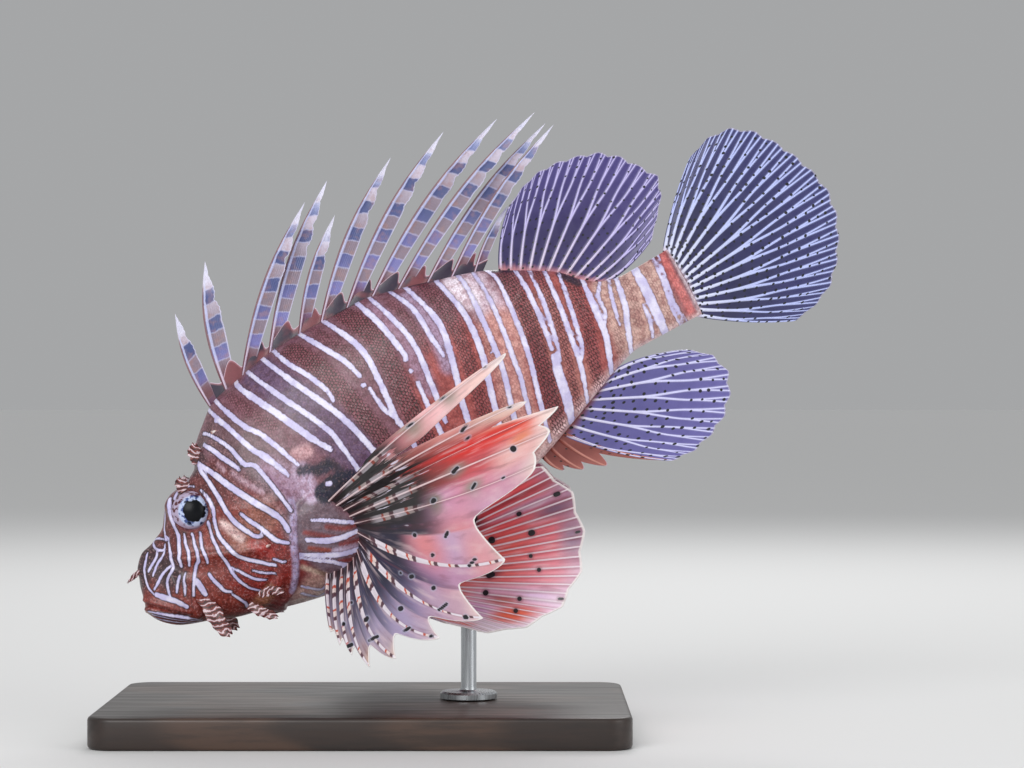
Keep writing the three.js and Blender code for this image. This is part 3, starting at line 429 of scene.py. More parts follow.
# Markings of the skin
# Pale lavender bars, mostly in pairs, cross dark red-brown scales. They lean back on the
# shoulder and narrow into fine lines on the head, and the belly and the throat are paler.
# Bars on the trunk: half breadth, then (s, depth) pairs, with depth 0 on the back, 1 below
TRUNK_BARS = [
    (0.96, [(54, 0), (59.3, 0.17), (62.9, 0.285), (66.4, 0.34), (70.4, 0.445)]),
    (1.02, [(57.9, 0), (60.4, 0.08), (64.3, 0.185), (69.3, 0.27), (75.7, 0.446)]),
    (1.34, [(68.4, 0), (69.3, 0.046), (76.4, 0.2), (81.4, 0.31), (85.7, 0.4), (89.3, 0.46)]),
    (1.09, [(73.9, 0), (81.4, 0.17), (91.4, 0.377), (93.6, 0.477), (95, 0.6)]),
    (1.22, [(81.4, 0), (88.6, 0.16), (98.6, 0.37), (103.6, 0.56), (106, 0.72)]),
    (1.02, [(86.6, 0), (90, 0.085), (94.3, 0.16), (98.2, 0.246), (98.9, 0.3)]),
    (1.09, [(98.4, 0), (106.4, 0.13), (110, 0.2), (112.1, 0.27)]),
    (0.96, [(113, 0.33), (114.3, 0.43), (116.8, 0.49), (117.9, 0.63), (118, 0.8)]),
    (1.22, [(108.9, 0), (114.3, 0.1), (117.1, 0.177), (117.9, 0.26), (117.1, 0.43), (116.6, 0.5)]),
    (1.22, [(123.6, 0), (127.9, 0.123), (130.7, 0.27), (130.3, 0.3)]),
    (1.02, [(130.3, 0.4), (129.3, 0.54), (128.6, 0.68), (126, 0.86)]),
    (1.09, [(128.8, 0), (133.9, 0.146), (135.8, 0.27), (134.6, 0.43), (132.5, 0.6)]),
    (1.02, [(136.8, 0), (141.8, 0.108), (142.9, 0.254), (143.9, 0.346)]),
    (1.22, [(142.9, 0), (147.1, 0.14), (148, 0.25), (145, 0.42), (140.7, 0.61), (137, 0.86)]),
    (1.22, [(154.6, 0), (158.2, 0.2), (157.1, 0.4), (151.8, 0.65), (147, 0.88)]),
    (1.09, [(162.9, 0), (163.9, 0.12), (161.8, 0.48), (157.9, 0.68), (152, 0.92)]),
    (0.96, [(168.8, 0), (169.3, 0.22), (166, 0.58), (163.9, 0.7), (159, 0.92)]),
    (1.02, [(173.6, 0), (175.7, 0.1), (173.2, 0.48), (168.2, 0.76), (164, 0.97)]),
    (1.02, [(183.4, 0), (183.9, 0.15), (182.9, 0.4), (181.2, 0.57)]),
    (1.92, [(181, 0.62), (179.3, 0.72), (177.5, 0.87), (175, 0.99)]),
    (0.9, [(188.2, 0), (187.1, 0.26), (184.6, 0.52), (182, 0.66)]),
    (1.02, [(193.2, 0), (192.1, 0.28), (190, 0.57), (187.9, 0.79), (183.9, 0.99)]),
    (0.9, [(197.8, 0), (195.7, 0.3), (192.5, 0.63), (190, 0.73)]),
    (1.28, [(204.6, 0), (203.2, 0.42), (202.1, 0.68), (197.5, 0.99)]),
    (0.77, [(210.4, 0), (206.8, 0.22), (206.1, 0.43), (203.6, 0.56)]),
    (0.77, [(213.6, 0), (211.4, 0.23), (209.6, 0.5), (209.1, 0.62)]),
    (1.15, [(216.4, 0), (214.3, 0.4), (211.8, 0.64), (207.9, 0.99)]),
    (1.92, [(224.4, 0), (224.4, 0.26), (224, 0.55), (223.2, 0.99)]),
    (0.77, [(220.9, 0.5), (219.6, 0.8), (217.9, 0.97)]),
    (0.77, [(232.5, 0), (231.8, 0.35), (230, 0.7), (230, 1)]),
    (0.64, [(235, 0), (232.9, 0.4), (231.9, 0.7), (232.5, 1)]),
]
# Lines on the head: half breadth, then (s, h) pairs
HEAD_LINES = [
    (0.62, [(17.4, 12.9), (17.8, 10.3), (16.8, 6.5), (16.1, 2.5), (14.4, -0.3), (10.6, -3.3),
            (8.9, -9)]),
    (0.5, [(17, 11.5), (14.6, 12.8), (12.3, 12.6), (12, 10.3), (13.2, 8.7), (15.1, 8.3),
           (16.1, 9.9)]),
    (0.55, [(12.1, 10), (11.6, 7.3), (8.2, 5.3), (6, 3.6)]),
    (0.5, [(15, 7.8), (13.4, 6.2), (10.4, 4.8), (8.1, 2.9), (6.8, 1.6)]),
    (0.6, [(15, 1.6), (12.5, 1.2), (9.7, 0.1), (7.2, -1.7), (5, -3.1)]),
    (0.45, [(8.6, 9.6), (6.6, 6.8), (5, 4.4), (3.6, 1.6), (3.1, -1.4), (3.9, -4.8)]),
    (1.1, [(4.6, -5.3), (7.6, -8.3), (10.5, -11.2), (12.8, -14.2)]),
    (0.7, [(22.6, 22.4), (21.8, 21), (19.5, 17.6), (18.2, 15.4), (17.9, 13.8)]),
    (0.8, [(26.1, 22.8), (23.7, 19), (23, 14.5), (22.5, 10.4), (20.5, 5.9), (18.3, -0.2)]),
    (0.6, [(25, 9.7), (23.7, 6.7), (23.3, 3.8), (22.6, 1), (21.1, -1.4)]),
    (0.62, [(27.8, 8.3), (26.6, 4.6), (26.1, 1.1), (25.2, -1.6), (23.3, -2.8), (19.9, -7.6),
            (17, -12.4)]),
    (1.1, [(20.9, -7.8), (21.1, -11.4), (21.2, -14)]),
    (0.55, [(30.8, 7.3), (29.5, 4.9), (28.5, 1.7), (28.5, -1.5), (27.8, -3.9)]),
    (0.5, [(16.1, -3.1), (14.4, -5.3), (12.4, -8.2)]),
    (0.45, [(18.5, -3.1), (16.7, -5.3), (15.8, -7.9), (14.5, -10.5)]),
    (0.7, [(26.2, -7.9), (26.6, -10.6), (27.5, -13.6), (28.2, -16.1), (30.1, -17.8)]),
    (0.6, [(30.1, -18.9), (31.3, -21.3), (32.6, -24.4), (32.5, -26.7), (36, -28.1)]),
    (0.62, [(35.5, 9.5), (34.4, 6.1), (33.8, 2), (34.1, -6.3), (34.5, -13.6), (36.9, -19.5),
            (39.8, -22.3)]),
    (0.8, [(37.7, 9.3), (36.9, 6), (36.6, 1.8), (38.9, -5.7), (41, -9), (43.9, -11.8),
           (50.1, -16.8)]),
    (0.55, [(34.7, -9.8), (36.6, -12.1), (38.7, -15.2), (41, -18), (44.3, -20.1)]),
    (0.55, [(50.7, -14.5), (54.4, -16.9)]),
    (0.5, [(41.5, -14.5), (44.5, -17), (48.5, -19.5)]),
    (0.6, [(38.4, 21.3), (39.6, 17.2), (39.4, 13), (37.8, 9.4)]),
    (0.45, [(36.8, 23.1), (33.6, 24.4), (30.1, 24.2), (27.2, 22.4)]),
    (0.95, [(42.1, 28.9), (42.2, 25.1), (43.1, 16.5), (43.4, 12), (43.8, 8), (44.8, 3.8),
            (48.6, -3.3), (51.2, -4.4)]),
    (1.2, [(42.2, 30.7), (45.1, 25.5), (49.6, 16.6), (54.7, 7.9), (59.7, -0.4), (60.8, -4.1),
           (61, -7.4)]),
    (0.85, [(48.1, 6.4), (49.8, 2.4), (52.4, -2.2), (54.1, -6.2), (55.7, -9), (58.7, -11.5)]),
    (0.95, [(47.1, 36.3), (49.1, 33.4), (51, 29.3), (53.1, 25.7), (55.2, 21.7)]),
    (0.85, [(48.4, 40.6), (51.3, 37.9), (55.6, 30.6), (57.9, 22.5), (61.1, 20.2), (63.2, 12.2),
            (65.4, -1.6)]),
    (0.9, [(55.1, 42.8), (57.8, 38.9), (59.9, 34), (63.7, 25.1), (67.8, 17.2), (69.2, 14),
           (70.6, 10.7)]),
    (0.5, [(24, 25.4), (28, 26.4), (32.4, 26.8), (36, 27.6)]),
    (0.75, [(70.4, -8), (75.4, -10.6), (81.4, -14.6), (86, -17.4)]),
    (1.1, [(65.4, -13.5), (73.1, -17.6), (84, -19.6)]),
    (1.0, [(60.7, -17.6), (73.6, -23.7), (84.6, -26.4)]),
    (0.8, [(60, -18.9), (69.3, -24.6), (74.9, -29.3), (83.9, -32.4)]),
    (0.8, [(71.9, -28.5), (76.5, -33.5), (81.5, -39.3)]),
    (0.8, [(53.3, -31.3), (57.2, -35.2), (60.6, -35.3)]),
    (0.7, [(54.7, -28.7), (59.9, -33.2), (63, -32.3)]),
]
LOWER_JAW_LINES = [
    [(-0.6, -8.6 - d), (7, -14.6 - d), (14.5, -20.4 - 0.6 * d)] for d in (0.9, 2.6, 4.4, 6.2)
]
LOWER_JAW_LINE_HALF = 0.5
GILL_BAND = [(67, 2), (65.6, -2.8), (62.6, -8), (60, -13.4), (57.6, -19), (54.6, -24), (51, -28)]
GILL_BAND_HALF = 1.3
GILL_BAND_SOFTNESS = 1.0
GILL_BAND_COLOUR = "#b3a6cc"
# How much narrower a bar is at its two ends, in how many parts it is taken, and how far it counts
BAR_FADE = 0.45
BAR_PARTS = 6
WIDEST_REACH = 4.0

# Patches of the ground colour: colour, half breadth, softness, side-view line in (s, h)
GROUND = "#7c505e"
PATCHES = [
    ("#8a3a30", 26, 18, [(8, 0), (40, -8)]),
    ("#402a30", 7, 6, [(2, 4), (10, 8), (13, 0)]),
    ("#8e2c26", 9, 7, [(40, -16), (55, -16)]),
    ("#6e3434", 9, 8, [(20, 14), (44, 22)]),
    ("#5c3a40", 3.4, 3, [(41, 33), (46, 38)]),
    ("#4a3038", 3.0, 3, [(38, 28), (44, 32)]),
    ("#70525a", 8, 6, [(54, 38), (62, 26), (66, 12)]),
    ("#c2a4b4", 0.9, 1.2, [(52.3, 21.7), (54.1, 17.7), (56.5, 13.9), (59.2, 9.8)]),
    ("#bda2b2", 0.9, 1.2, [(58.7, 7.1), (60.6, 3.6), (61.8, -1.2)]),
    ("#c6a6b4", 0.8, 1.0, [(48.5, 27.2), (49.7, 24.2)]),
    ("#9a5f50", 6, 6, [(44, -2), (56, 2)]),
    ("#c9a096", 4.5, 4, [(70, -24), (60, -30), (52, -33)]),
    ("#f2d8d4", 1.6, 2.2, [(40, 6.5), (43.6, -1.6)]),
    ("#b03a34", 2.2, 3.5, [(47, -6), (51, -11.5)]),
    ("#a2829c", 5, 5, [(66, 16), (69, 8), (70, 1)]),
    ("#74626f", 11, 5, [(70, -10), (74, -24)]),
    ("#8c3a3a", 0.9, 0.8, [(74.1, -12.6), (80.5, -16.5), (87.4, -17.2)]),
    ("#8c3a3a", 0.9, 0.8, [(66, -10.8), (76.4, -18.5), (81.6, -20)]),
    ("#8c3a3a", 0.8, 0.8, [(75.3, -20.5), (85.2, -23.7)]),
    ("#8c3a3a", 0.8, 0.8, [(71.6, -25.8), (79.2, -28.4), (83.8, -29.4)]),
    ("#b39a8a", 1.0, 1.0, [(58.6, -22.2), (66.5, -29.9)]),
    ("#a04838", 0.8, 0.7, [(64.6, -16.6), (71.1, -20.9)]),
    ("#a04838", 0.8, 0.7, [(76, -24.8), (84, -27)]),
    ("#c8bcd8", 1.1, 1.0, [(72, -21.6), (80, -24)]),
    ("#b8a8c8", 1.2, 1.2, [(72, -29.6), (80, -32.4)]),
    ("#a06a50", 2.5, 2.5, [(44, -24), (36, -27)]),
    ("#d9c7b4", 5, 5, [(54, -35), (76, -38), (100, -40), (130, -38), (160, -30)]),
]
# Dark scaly bands between the bars: strength, half breadth, (s, depth) pairs
DARK_BANDS = [
    (0.55, 2.2, [(64, 0.03), (69, 0.16), (74, 0.26)]),
    (0.95, 3.6, [(93, 0.04), (99, 0.14), (103, 0.26), (106, 0.4), (109, 0.56)]),
    (0.55, 2.0, [(104.5, 0.02), (112, 0.16), (114.5, 0.24)]),
    (1.0, 3.9, [(116.5, 0), (122.6, 0.13), (124.2, 0.27), (123.6, 0.42), (122.8, 0.62)]),
    (0.5, 1.6, [(135.5, 0.05), (138.6, 0.15), (139.4, 0.3)]),
    (0.8, 3.0, [(149, 0), (152.6, 0.14), (152.6, 0.3), (150.6, 0.45), (147, 0.66), (142, 0.88)]),
    (0.25, 2.0, [(160.8, 0.24), (159.6, 0.45), (155, 0.67), (149.6, 0.9)]),
    (1.0, 3.2, [(178.6, 0), (179.6, 0.14), (178.4, 0.4), (174.6, 0.68), (169.6, 0.95)]),
    (0.8, 1.7, [(190.6, 0.02), (189.6, 0.27), (187.3, 0.53), (183.6, 0.76), (180, 0.97)]),
    (0.85, 2.6, [(200.6, 0.02), (199.6, 0.28), (197.6, 0.56), (193.6, 0.8), (191, 0.97)]),
    (0.3, 1.8, [(207, 0.68), (203.4, 0.95)]),
    (0.3, 2.0, [(219, 0.1), (218, 0.4), (215.6, 0.7)]),
    (0.25, 1.6, [(228, 0.1), (227.6, 0.5), (227, 0.9)]),
]
BAND_DEEP = "#5a2830"
BAND_SOFTNESS = 1.6
BAND_WEIGHT = 0.85
LEAST_SCALY = 0.12
# Pale and pink ground: colour, half breadth, softness, (s, depth) pairs
TRUNK_PATCHES = [
    ("#a85450", 30, 16, [(150, 0.6), (205, 0.5)]),
    ("#664c6c", 8, 6, [(78, 0.05), (86, 0.2), (94, 0.42), (98, 0.55)]),
    ("#a07c94", 3, 3, [(129, 0.05), (133, 0.2), (133, 0.45)]),
    ("#a68ca8", 3, 3, [(142, 0.05), (145, 0.2), (143.5, 0.4)]),
    ("#d2bccb", 6.5, 5, [(166, 0), (168, 0.26)]),
    ("#ece0ec", 4.5, 3.5, [(160, 0.03), (163, 0.14)]),
    ("#d29c94", 8, 6, [(168, 0.34), (164, 0.6), (158, 0.8)]),
    ("#cd9990", 12, 8, [(138, 0.8), (156, 0.88)]),
    ("#963c38", 5, 5, [(178, 0.5), (170, 0.8)]),
    ("#b4746c", 7, 6, [(186, 0.3), (184, 0.9)]),
    ("#cba79d", 9, 6, [(214, 0.1), (212, 0.9)]),
    ("#d3b0a6", 6, 4, [(226, 0.1), (226, 0.9)]),
    ("#cc6f6c", 1.7, 0.8, [(236.8, -0.05), (236, 0.5), (235.7, 1.05)]),
    ("#e4d4dc", 1.4, 0.8, [(240.4, 0), (240, 0.5), (239.6, 1)]),
    ("#c7b3cf", 3.2, 2.5, [(75.5, 0.47), (75, 0.58)]),
    ("#c79aa0", 2.6, 2, [(77, 0.41), (81, 0.42)]),
]
# Blotches of deep navy: strength, half breadth, softness, (s, depth) pairs
NAVY = "#1c1c34"
NAVY_BLOTCHES = [
    (0.95, 2.0, 0.8, [(75.6, 0.474), (78.6, 0.486)]),
    (0.95, 2.5, 0.9, [(81.6, 0.508), (84.6, 0.512)]),
    (1.0, 4.1, 0.9, [(79.8, 0.6), (85, 0.592), (90, 0.602)]),
    (0.85, 1.8, 1.2, [(86.5, 0.5), (88.5, 0.55)]),
    (0.85, 2.2, 1.4, [(88, -0.02), (97.5, -0.01)]),
    (0.85, 2.2, 1.4, [(102.5, -0.01), (107.5, -0.01)]),
    (0.85, 2.6, 1.4, [(114, -0.01), (122.5, -0.01)]),
    (0.85, 2.6, 1.4, [(145, -0.01), (153, -0.01)]),
    (0.85, 3.0, 1.4, [(176, -0.01), (182, -0.01)]),
    (0.85, 2.4, 1.2, [(198.6, 0.02), (203, 0.05)]),
]
BELLY_COLOUR = "#e2cccc"
# White dots: half breadth, (s, depth)
WHITE_DOTS = [
    (1.05, (111.6, 0.307)), (1.05, (130, 0.35)), (0.5, (184.6, 0.485)), (0.6, (190.1, 0.51)),
    (0.95, (82, 0.573)), (0.95, (83.1, 0.577)), (0.4, (160, 0.43)), (0.4, (147.5, 0.37)),
    (0.35, (171.5, 0.46)),
]


def linear(colour):
    """A colour in hex as linear red, green and blue"""
    parts = np.array([int(colour[k : k + 2], 16) for k in (1, 3, 5)]) / 255
    return np.where(parts > 0.04045, ((parts + 0.055) / 1.055) ** 2.4, parts / 12.92)


def at_depth(pairs):
    """(s, h) pairs from (s, depth) pairs"""
    return [
        (place, back_height(place) + depth * (belly_height(place) - back_height(place)))
        for place, depth in pairs
    ]


def spread(line, reach):
    """Distance of each skin vertex from a side-view line, up to a reach"""
    fine = on_side(curve_through(line, 25)) if len(line) > 1 else on_side(line * 2)
    low = fine.min(axis=0) - reach
    high = fine.max(axis=0) + reach
    close = np.all((beside >= low) & (beside <= high), axis=1)
    away = np.full(len(s), 99.0)
    away[close] = distance_to(beside[close], fine)
    return away


def tapered(line, half):
    """Distance outside a bar that narrows towards both its ends"""
    fine = curve_through(line, 4 * BAR_PARTS + 1)
    least = np.full(len(s), WIDEST_REACH)
    for k in range(BAR_PARTS):
        middle = (k + 0.5) / BAR_PARTS
        narrow = half * (1 - BAR_FADE * (2 * middle - 1) ** 4)
        least = np.minimum(least, spread(fine[4 * k : 4 * k + 5], WIDEST_REACH) - narrow)
    return least


def within(line, half, soft):
    """1 inside a patch round a side-view line and 0 outside it, with a soft edge between"""
    away = spread(line, half + soft)
    return smooth_step(-away, -half - soft / 2, -half + soft / 2)


pale = np.full(len(s), WIDEST_REACH)
for half, line in TRUNK_BARS:
    pale = np.minimum(pale, tapered(at_depth(line), half))
for half, line in HEAD_LINES:
    pale = np.minimum(pale, tapered(line, half))
for line in LOWER_JAW_LINES:
    pale = np.minimum(pale, tapered(line, LOWER_JAW_LINE_HALF))
for half, place in WHITE_DOTS:
    pale = np.minimum(pale, spread(at_depth([place]), WIDEST_REACH) - half)

ground = np.tile(linear(GROUND), (len(s), 1))


def lay(colour, weight):
    """Lays a colour over the ground by a weight at each vertex"""
    ground[:] = ground + (linear(colour) - ground) * weight[:, None]


for colour, half, soft, line in PATCHES:
    lay(colour, within(line, half, soft))
for colour, half, soft, line in TRUNK_PATCHES:
    lay(colour, within(at_depth(line), half, soft))
scaly = np.full(len(s), LEAST_SCALY)
for strength, half, line in DARK_BANDS:
    weight = strength * within(at_depth(line), half, BAND_SOFTNESS)
    lay(BAND_DEEP, weight * BAND_WEIGHT)
    scaly = np.maximum(scaly, weight)
for strength, half, soft, line in NAVY_BLOTCHES:
    weight = strength * within(at_depth(line), half, soft)
    lay(NAVY, weight)
    scaly *= 1 - weight
gill_band = within(GILL_BAND, GILL_BAND_HALF, GILL_BAND_SOFTNESS)
lay(GILL_BAND_COLOUR, gill_band)
on_head = smooth_step(ahead, -1, 1)
depth = (back_height(s) - h) / (back_height(s) - belly_height(s))
lay(BELLY_COLOUR, 0.8 * smooth_step(depth, 0.9, 1) * (1 - on_head))
scaly *= (1 - gill_band) * (1 - 0.75 * on_head) * (1 - smooth_step(lobe, -0.15, 0.25))
add_attribute(skin, "ground", ground)
add_attribute(skin, "pale", pale)
add_attribute(skin, "scaly", scaly)
add_attribute(skin, "on_head", on_head)


def effect(name, inputs, outputs):
    """An empty group of nodes with its named inputs and outputs"""
    group = bpy.data.node_groups.new(name, "ShaderNodeTree")
    for label, kind, value in inputs:
        socket = group.interface.new_socket(label, in_out="INPUT", socket_type="NodeSocket" + kind)
        socket.default_value = value
    for label, kind in outputs:
        group.interface.new_socket(label, in_out="OUTPUT", socket_type="NodeSocket" + kind)
    return group, group.nodes.new("NodeGroupInput"), group.nodes.new("NodeGroupOutput")


def calculate(tree, operation, *values):
    """The result of one sum, with sockets or numbers"""
    return add_node(tree, "Math", dict(enumerate(values)), operation=operation).outputs[0]


def plus(tree, first, second):
    return calculate(tree, "ADD", first, second)


def minus(tree, first, second):
    return calculate(tree, "SUBTRACT", first, second)


def times(tree, first, second):
    return calculate(tree, "MULTIPLY", first, second)


def own_place(tree):
    """The place of a point in its piece's own space"""
    return add_node(tree, "TexCoord").outputs["Object"]


def surface_map(tree):
    """The two values of a piece's own map"""
    both = add_node(tree, "UVMap", uv_map="surface").outputs["UV"]
    parts = add_node(tree, "SeparateXYZ", {0: both})
    return parts.outputs["X"], parts.outputs["Y"]


def stored(tree, name, kind="Fac"):
    """A value or colour stored at the vertices"""
    return add_node(tree, "Attribute", attribute_name=name).outputs[kind]


def noise(tree, place, scale, detail, roughness=0.5):
    """Clouds of grey, from 0 to 1, at the given scale"""
    inputs = {"Vector": place, "Scale": scale, "Detail": detail, "Roughness": roughness}
    return add_node(tree, "TexNoise", inputs).outputs["Fac"]


def ramp(tree, value, low, high, start=0.0, end=1.0, smooth=True):
    """A value brought from the range low to high into the range start to end"""
    kind = "SMOOTHSTEP" if smooth else "LINEAR"
    inputs = {"Value": value, "From Min": low, "From Max": high, "To Min": start, "To Max": end}
    return add_node(tree, "MapRange", inputs, interpolation_type=kind).outputs["Result"]


def blend(tree, weight, under, over, kind="MIX"):
    """One colour laid over another, each a socket or a colour in hex"""
    under, over = (opaque(part) if isinstance(part, str) else part for part in (under, over))
    inputs = {"Fac": weight, "Color1": under, "Color2": over}
    return add_node(tree, "MixRGB", inputs, blend_type=kind).outputs["Color"]


def opaque(colour):
    return (*linear(colour), 1)


def wash(tree, under, over, value, low, high, start=0.0, end=1.0):
    """One colour laid over another by how far a value is from low to high"""
    return blend(tree, ramp(tree, value, low, high, start, end), under, over)


# Wet grain: fine mottling and pores that every soft surface of the fish shares
wet_grain, inside, result = effect(
    "wet_grain",
    [("Colour", "Color", (1, 1, 1, 1)), ("Strength", "Float", 0.3), ("Size", "Float", 1.0)],
    [("Colour", "Color"), ("Roughness", "Float"), ("Height", "Float")],
)
place = own_place(wet_grain)
coarse_scale = calculate(wet_grain, "DIVIDE", 260, inside.outputs["Size"])
fine_scale = calculate(wet_grain, "DIVIDE", 1500, inside.outputs["Size"])
coarse = noise(wet_grain, place, coarse_scale, 3.0)
fine = noise(wet_grain, place, fine_scale, 2.0)
mixed = plus(wet_grain, coarse, fine)
swing = times(wet_grain, minus(wet_grain, mixed, 1), inside.outputs["Strength"])
bright = plus(wet_grain, swing, 1)
grey = add_node(wet_grain, "CombineColor", {"Red": bright, "Green": bright, "Blue": bright})
tinted = blend(wet_grain, 1.0, inside.outputs["Colour"], grey.outputs["Color"], "MULTIPLY")
wet_grain.links.new(tinted, result.inputs["Colour"])
rough = ramp(wet_grain, coarse, 0.3, 0.7, 0.3, 0.5)
wet_grain.links.new(rough, result.inputs["Roughness"])
wet_grain.links.new(fine, result.inputs["Height"])


def shared(tree, group, values):
    """A node of a shared effect, with the values it takes here"""
    node = tree.nodes.new("ShaderNodeGroup")
    node.node_tree = group
    for key, value in values.items():
        node.inputs[key].default_value = value
    return node


def wet_coat(tree, shader, colour, strength=0.3):
    """Grains a colour and feeds it, with the grain's roughness, to the shader"""
    grain = shared(tree, wet_grain, {"Strength": strength})
    tree.links.new(colour, grain.inputs["Colour"])
    tree.links.new(grain.outputs["Colour"], shader.inputs["Base Color"])
    tree.links.new(grain.outputs["Roughness"], shader.inputs["Roughness"])
    return grain


def relief(tree, shader, height, strength, distance):
    """Raises the surface by a value"""
    bump = add_node(tree, "Bump", {"Height": height, "Strength": strength, "Distance": distance})
    tree.links.new(bump.outputs["Normal"], shader.inputs["Normal"])


PALE_LINE = "#e9e4fa"
PALE_SHADE = "#b9b0e0"
LINE_EDGE = "#2a1218"
SCALE_LENGTH = 2.1
SCALE_HEIGHT = 1.55

skin_finish, tree, shader = finish_of("body_skin", Coat_Weight=0.22, Coat_Roughness=0.18)
ground_colour = stored(tree, "ground", "Color")
pale_value = stored(tree, "pale")
scaly_value = stored(tree, "scaly")
head_value = stored(tree, "on_head")
map_u, map_v = surface_map(tree)
place = own_place(tree)
# Scales: two slanting families of cells, each with a rounded rear edge
shift = noise(tree, place, 330.0, 1.0)
shift = times(tree, minus(tree, shift, 0.5), 1.1)
along = plus(tree, calculate(tree, "DIVIDE", map_u, SCALE_LENGTH), shift)
down = calculate(tree, "DIVIDE", map_v, SCALE_HEIGHT)
first = calculate(tree, "FRACT", plus(tree, along, down))
second = calculate(tree, "FRACT", minus(tree, along, down))
squares = plus(tree, times(tree, first, first), times(tree, second, second))
from_front = calculate(tree, "SQRT", squares)
tilt = calculate(tree, "FRACT", from_front)
lit = ramp(tree, calculate(tree, "ABSOLUTE", minus(tree, tilt, 0.55)), 0.16, 0.42, 1.0, 0.0)
darkened = times(tree, scaly_value, minus(tree, 1, lit))
scale_light = times(tree, times(tree, scaly_value, lit), 0.95)
lifted = []
for depth in (0.72, 0.9, 0.88):
    scale_shade = minus(tree, 1, times(tree, darkened, depth))
    lifted.append(plus(tree, scale_shade, scale_light))
scale_tint = add_node(tree, "CombineColor", dict(enumerate(lifted))).outputs["Color"]
scaled = blend(tree, 1.0, ground_colour, scale_tint, "MULTIPLY")
# Mottling, stronger on the head
blotch = noise(tree, place, 420.0, 4.0, 0.65)
mottle = [ramp(tree, blotch, 0.36, 0.62, least, 1.1) for least in (0.62, 0.44, 0.46)]
mottle_tint = add_node(tree, "CombineColor", dict(enumerate(mottle))).outputs["Color"]
mottled = blend(tree, ramp(tree, head_value, 0, 1, 0.85, 0.9), scaled, mottle_tint, "MULTIPLY")
speck = noise(tree, place, 1100.0, 2.0, 0.7)
speckled = wash(tree, mottled, "#c89a9c", speck, 0.56, 0.64, 0.0, 0.55)
speckled = wash(tree, speckled, "#30181c", speck, 0.44, 0.38, 0.0, 0.7)
mottled = wash(tree, mottled, speckled, head_value, 0, 1, 0.3, 0.75)
# Pale lines with a wavering edge and a dark rim
waver = noise(tree, place, 700.0, 2.0)
swing = times(tree, minus(tree, waver, 0.5), ramp(tree, head_value, 0, 1, 0.9, 0.6))
wavered = plus(tree, pale_value, swing)
rim = times(tree, ramp(tree, wavered, 0.1, 0.7, 0.95, 0.0), ramp(tree, head_value, 0, 1, 0.45, 1.0))
rimmed = blend(tree, rim, mottled, LINE_EDGE)
drift = noise(tree, place, 160.0, 2.0)
line_colour = wash(tree, PALE_SHADE, PALE_LINE, drift, 0.36, 0.6, 0.35, 1.0)
line_colour = wash(tree, line_colour, PALE_SHADE, wavered, -0.6, 0.1, 0.0, 0.75)
line_mask = ramp(tree, wavered, -0.2, 0.2, 1.0, 0.0)
marked = blend(tree, line_mask, rimmed, line_colour)
grain = wet_coat(tree, shader, marked)
scale_rise = times(tree, tilt, times(tree, scaly_value, 0.8))
pores = times(tree, grain.outputs["Height"], 0.5)
height = plus(tree, scale_rise, pores)
relief(tree, shader, height, 0.55, 0.0005)
add_piece(skin, "body_skin", skin_finish, "head", "lower_jaw", "torso", "tail")

# Eyes
# Each eyeball is a satin glass ball, painted with a ragged black pupil and a pale mottled iris
# and set deep in its socket behind the raised rim of the orbit.
EYE_RADII = (8, 6.6, 8)
EYE_GRID = (96, 64)
NO_PUPIL = 9
PUPIL_RADII = (4.0, 4.3)
PUPIL_BACK = 1.5
PUPIL_SCALE = 3.4
IRIS_RADIUS = 5.9
IRIS_BACK = 1.2
eye_finish, tree, shader = finish_of("eye_glass", Roughness=0.3, Specular_IOR_Level=0.2)
pupil_value = stored(tree, "pupil")
iris_value = stored(tree, "iris")
place = own_place(tree)
fleck = noise(tree, place, 520.0, 3.0)
blot = add_node(tree, "TexVoronoi", {"Vector": place, "Scale": 330.0}).outputs["Distance"]
fleck_mask = ramp(tree, fleck, 0.4, 0.5)
iris_colour = blend(tree, fleck_mask, "#4c5c94", "#c3d0f0")
near_pupil = ramp(tree, pupil_value, 0.4, 3.0, 1.0, 0.4)
dark_blot = times(tree, ramp(tree, blot, 0.42, 0.26), near_pupil)
iris_colour = blend(tree, dark_blot, iris_colour, "#141a38")
outer_colour = blend(tree, fleck_mask, "#5c3238", "#b9aac4")
eye_colour = wash(tree, iris_colour, outer_colour, iris_value, -0.4, 0.4)
ragged = plus(tree, pupil_value, times(tree, minus(tree, fleck, 0.5), 1.6))
eye_colour = wash(tree, eye_colour, "#04060c", ragged, 0.12, -0.12)
tree.links.new(eye_colour, shader.inputs["Base Color"])

for label, facing in (("left", -1), ("right", 1)):
    ball = bmesh.new()
    bmesh.ops.create_uvsphere(ball, u_segments=EYE_GRID[0], v_segments=EYE_GRID[1], radius=1)
    bmesh.ops.rotate(ball, verts=ball.verts, matrix=Matrix.Rotation(math.pi / 2, 3, "X"))
    eye = mesh_of("eyeball_" + label, ball)
    unit = coordinates(eye)
    middle = bend(np.float64(EYE_CENTRE[0])) + facing * EYE_CENTRE[1]
    centre = np.array([EYE_CENTRE[0], middle, EYE_CENTRE[2]])
    set_coordinates(eye, centre + unit * EYE_RADII)
    across = unit[:, 0] * EYE_RADII[0]
    upward = unit[:, 2] * EYE_RADII[2]
    outward = facing * unit[:, 1] > 0
    from_pupil = np.hypot((across - PUPIL_BACK) / PUPIL_RADII[0], upward / PUPIL_RADII[1])
    pupil = np.where(outward, (from_pupil - 1) * PUPIL_SCALE, NO_PUPIL)
    add_attribute(eye, "pupil", pupil)
    add_attribute(eye, "iris", np.hypot(across - IRIS_BACK, upward) - IRIS_RADIUS)
    add_piece(eye, "eye", eye_finish, "eye_" + label)

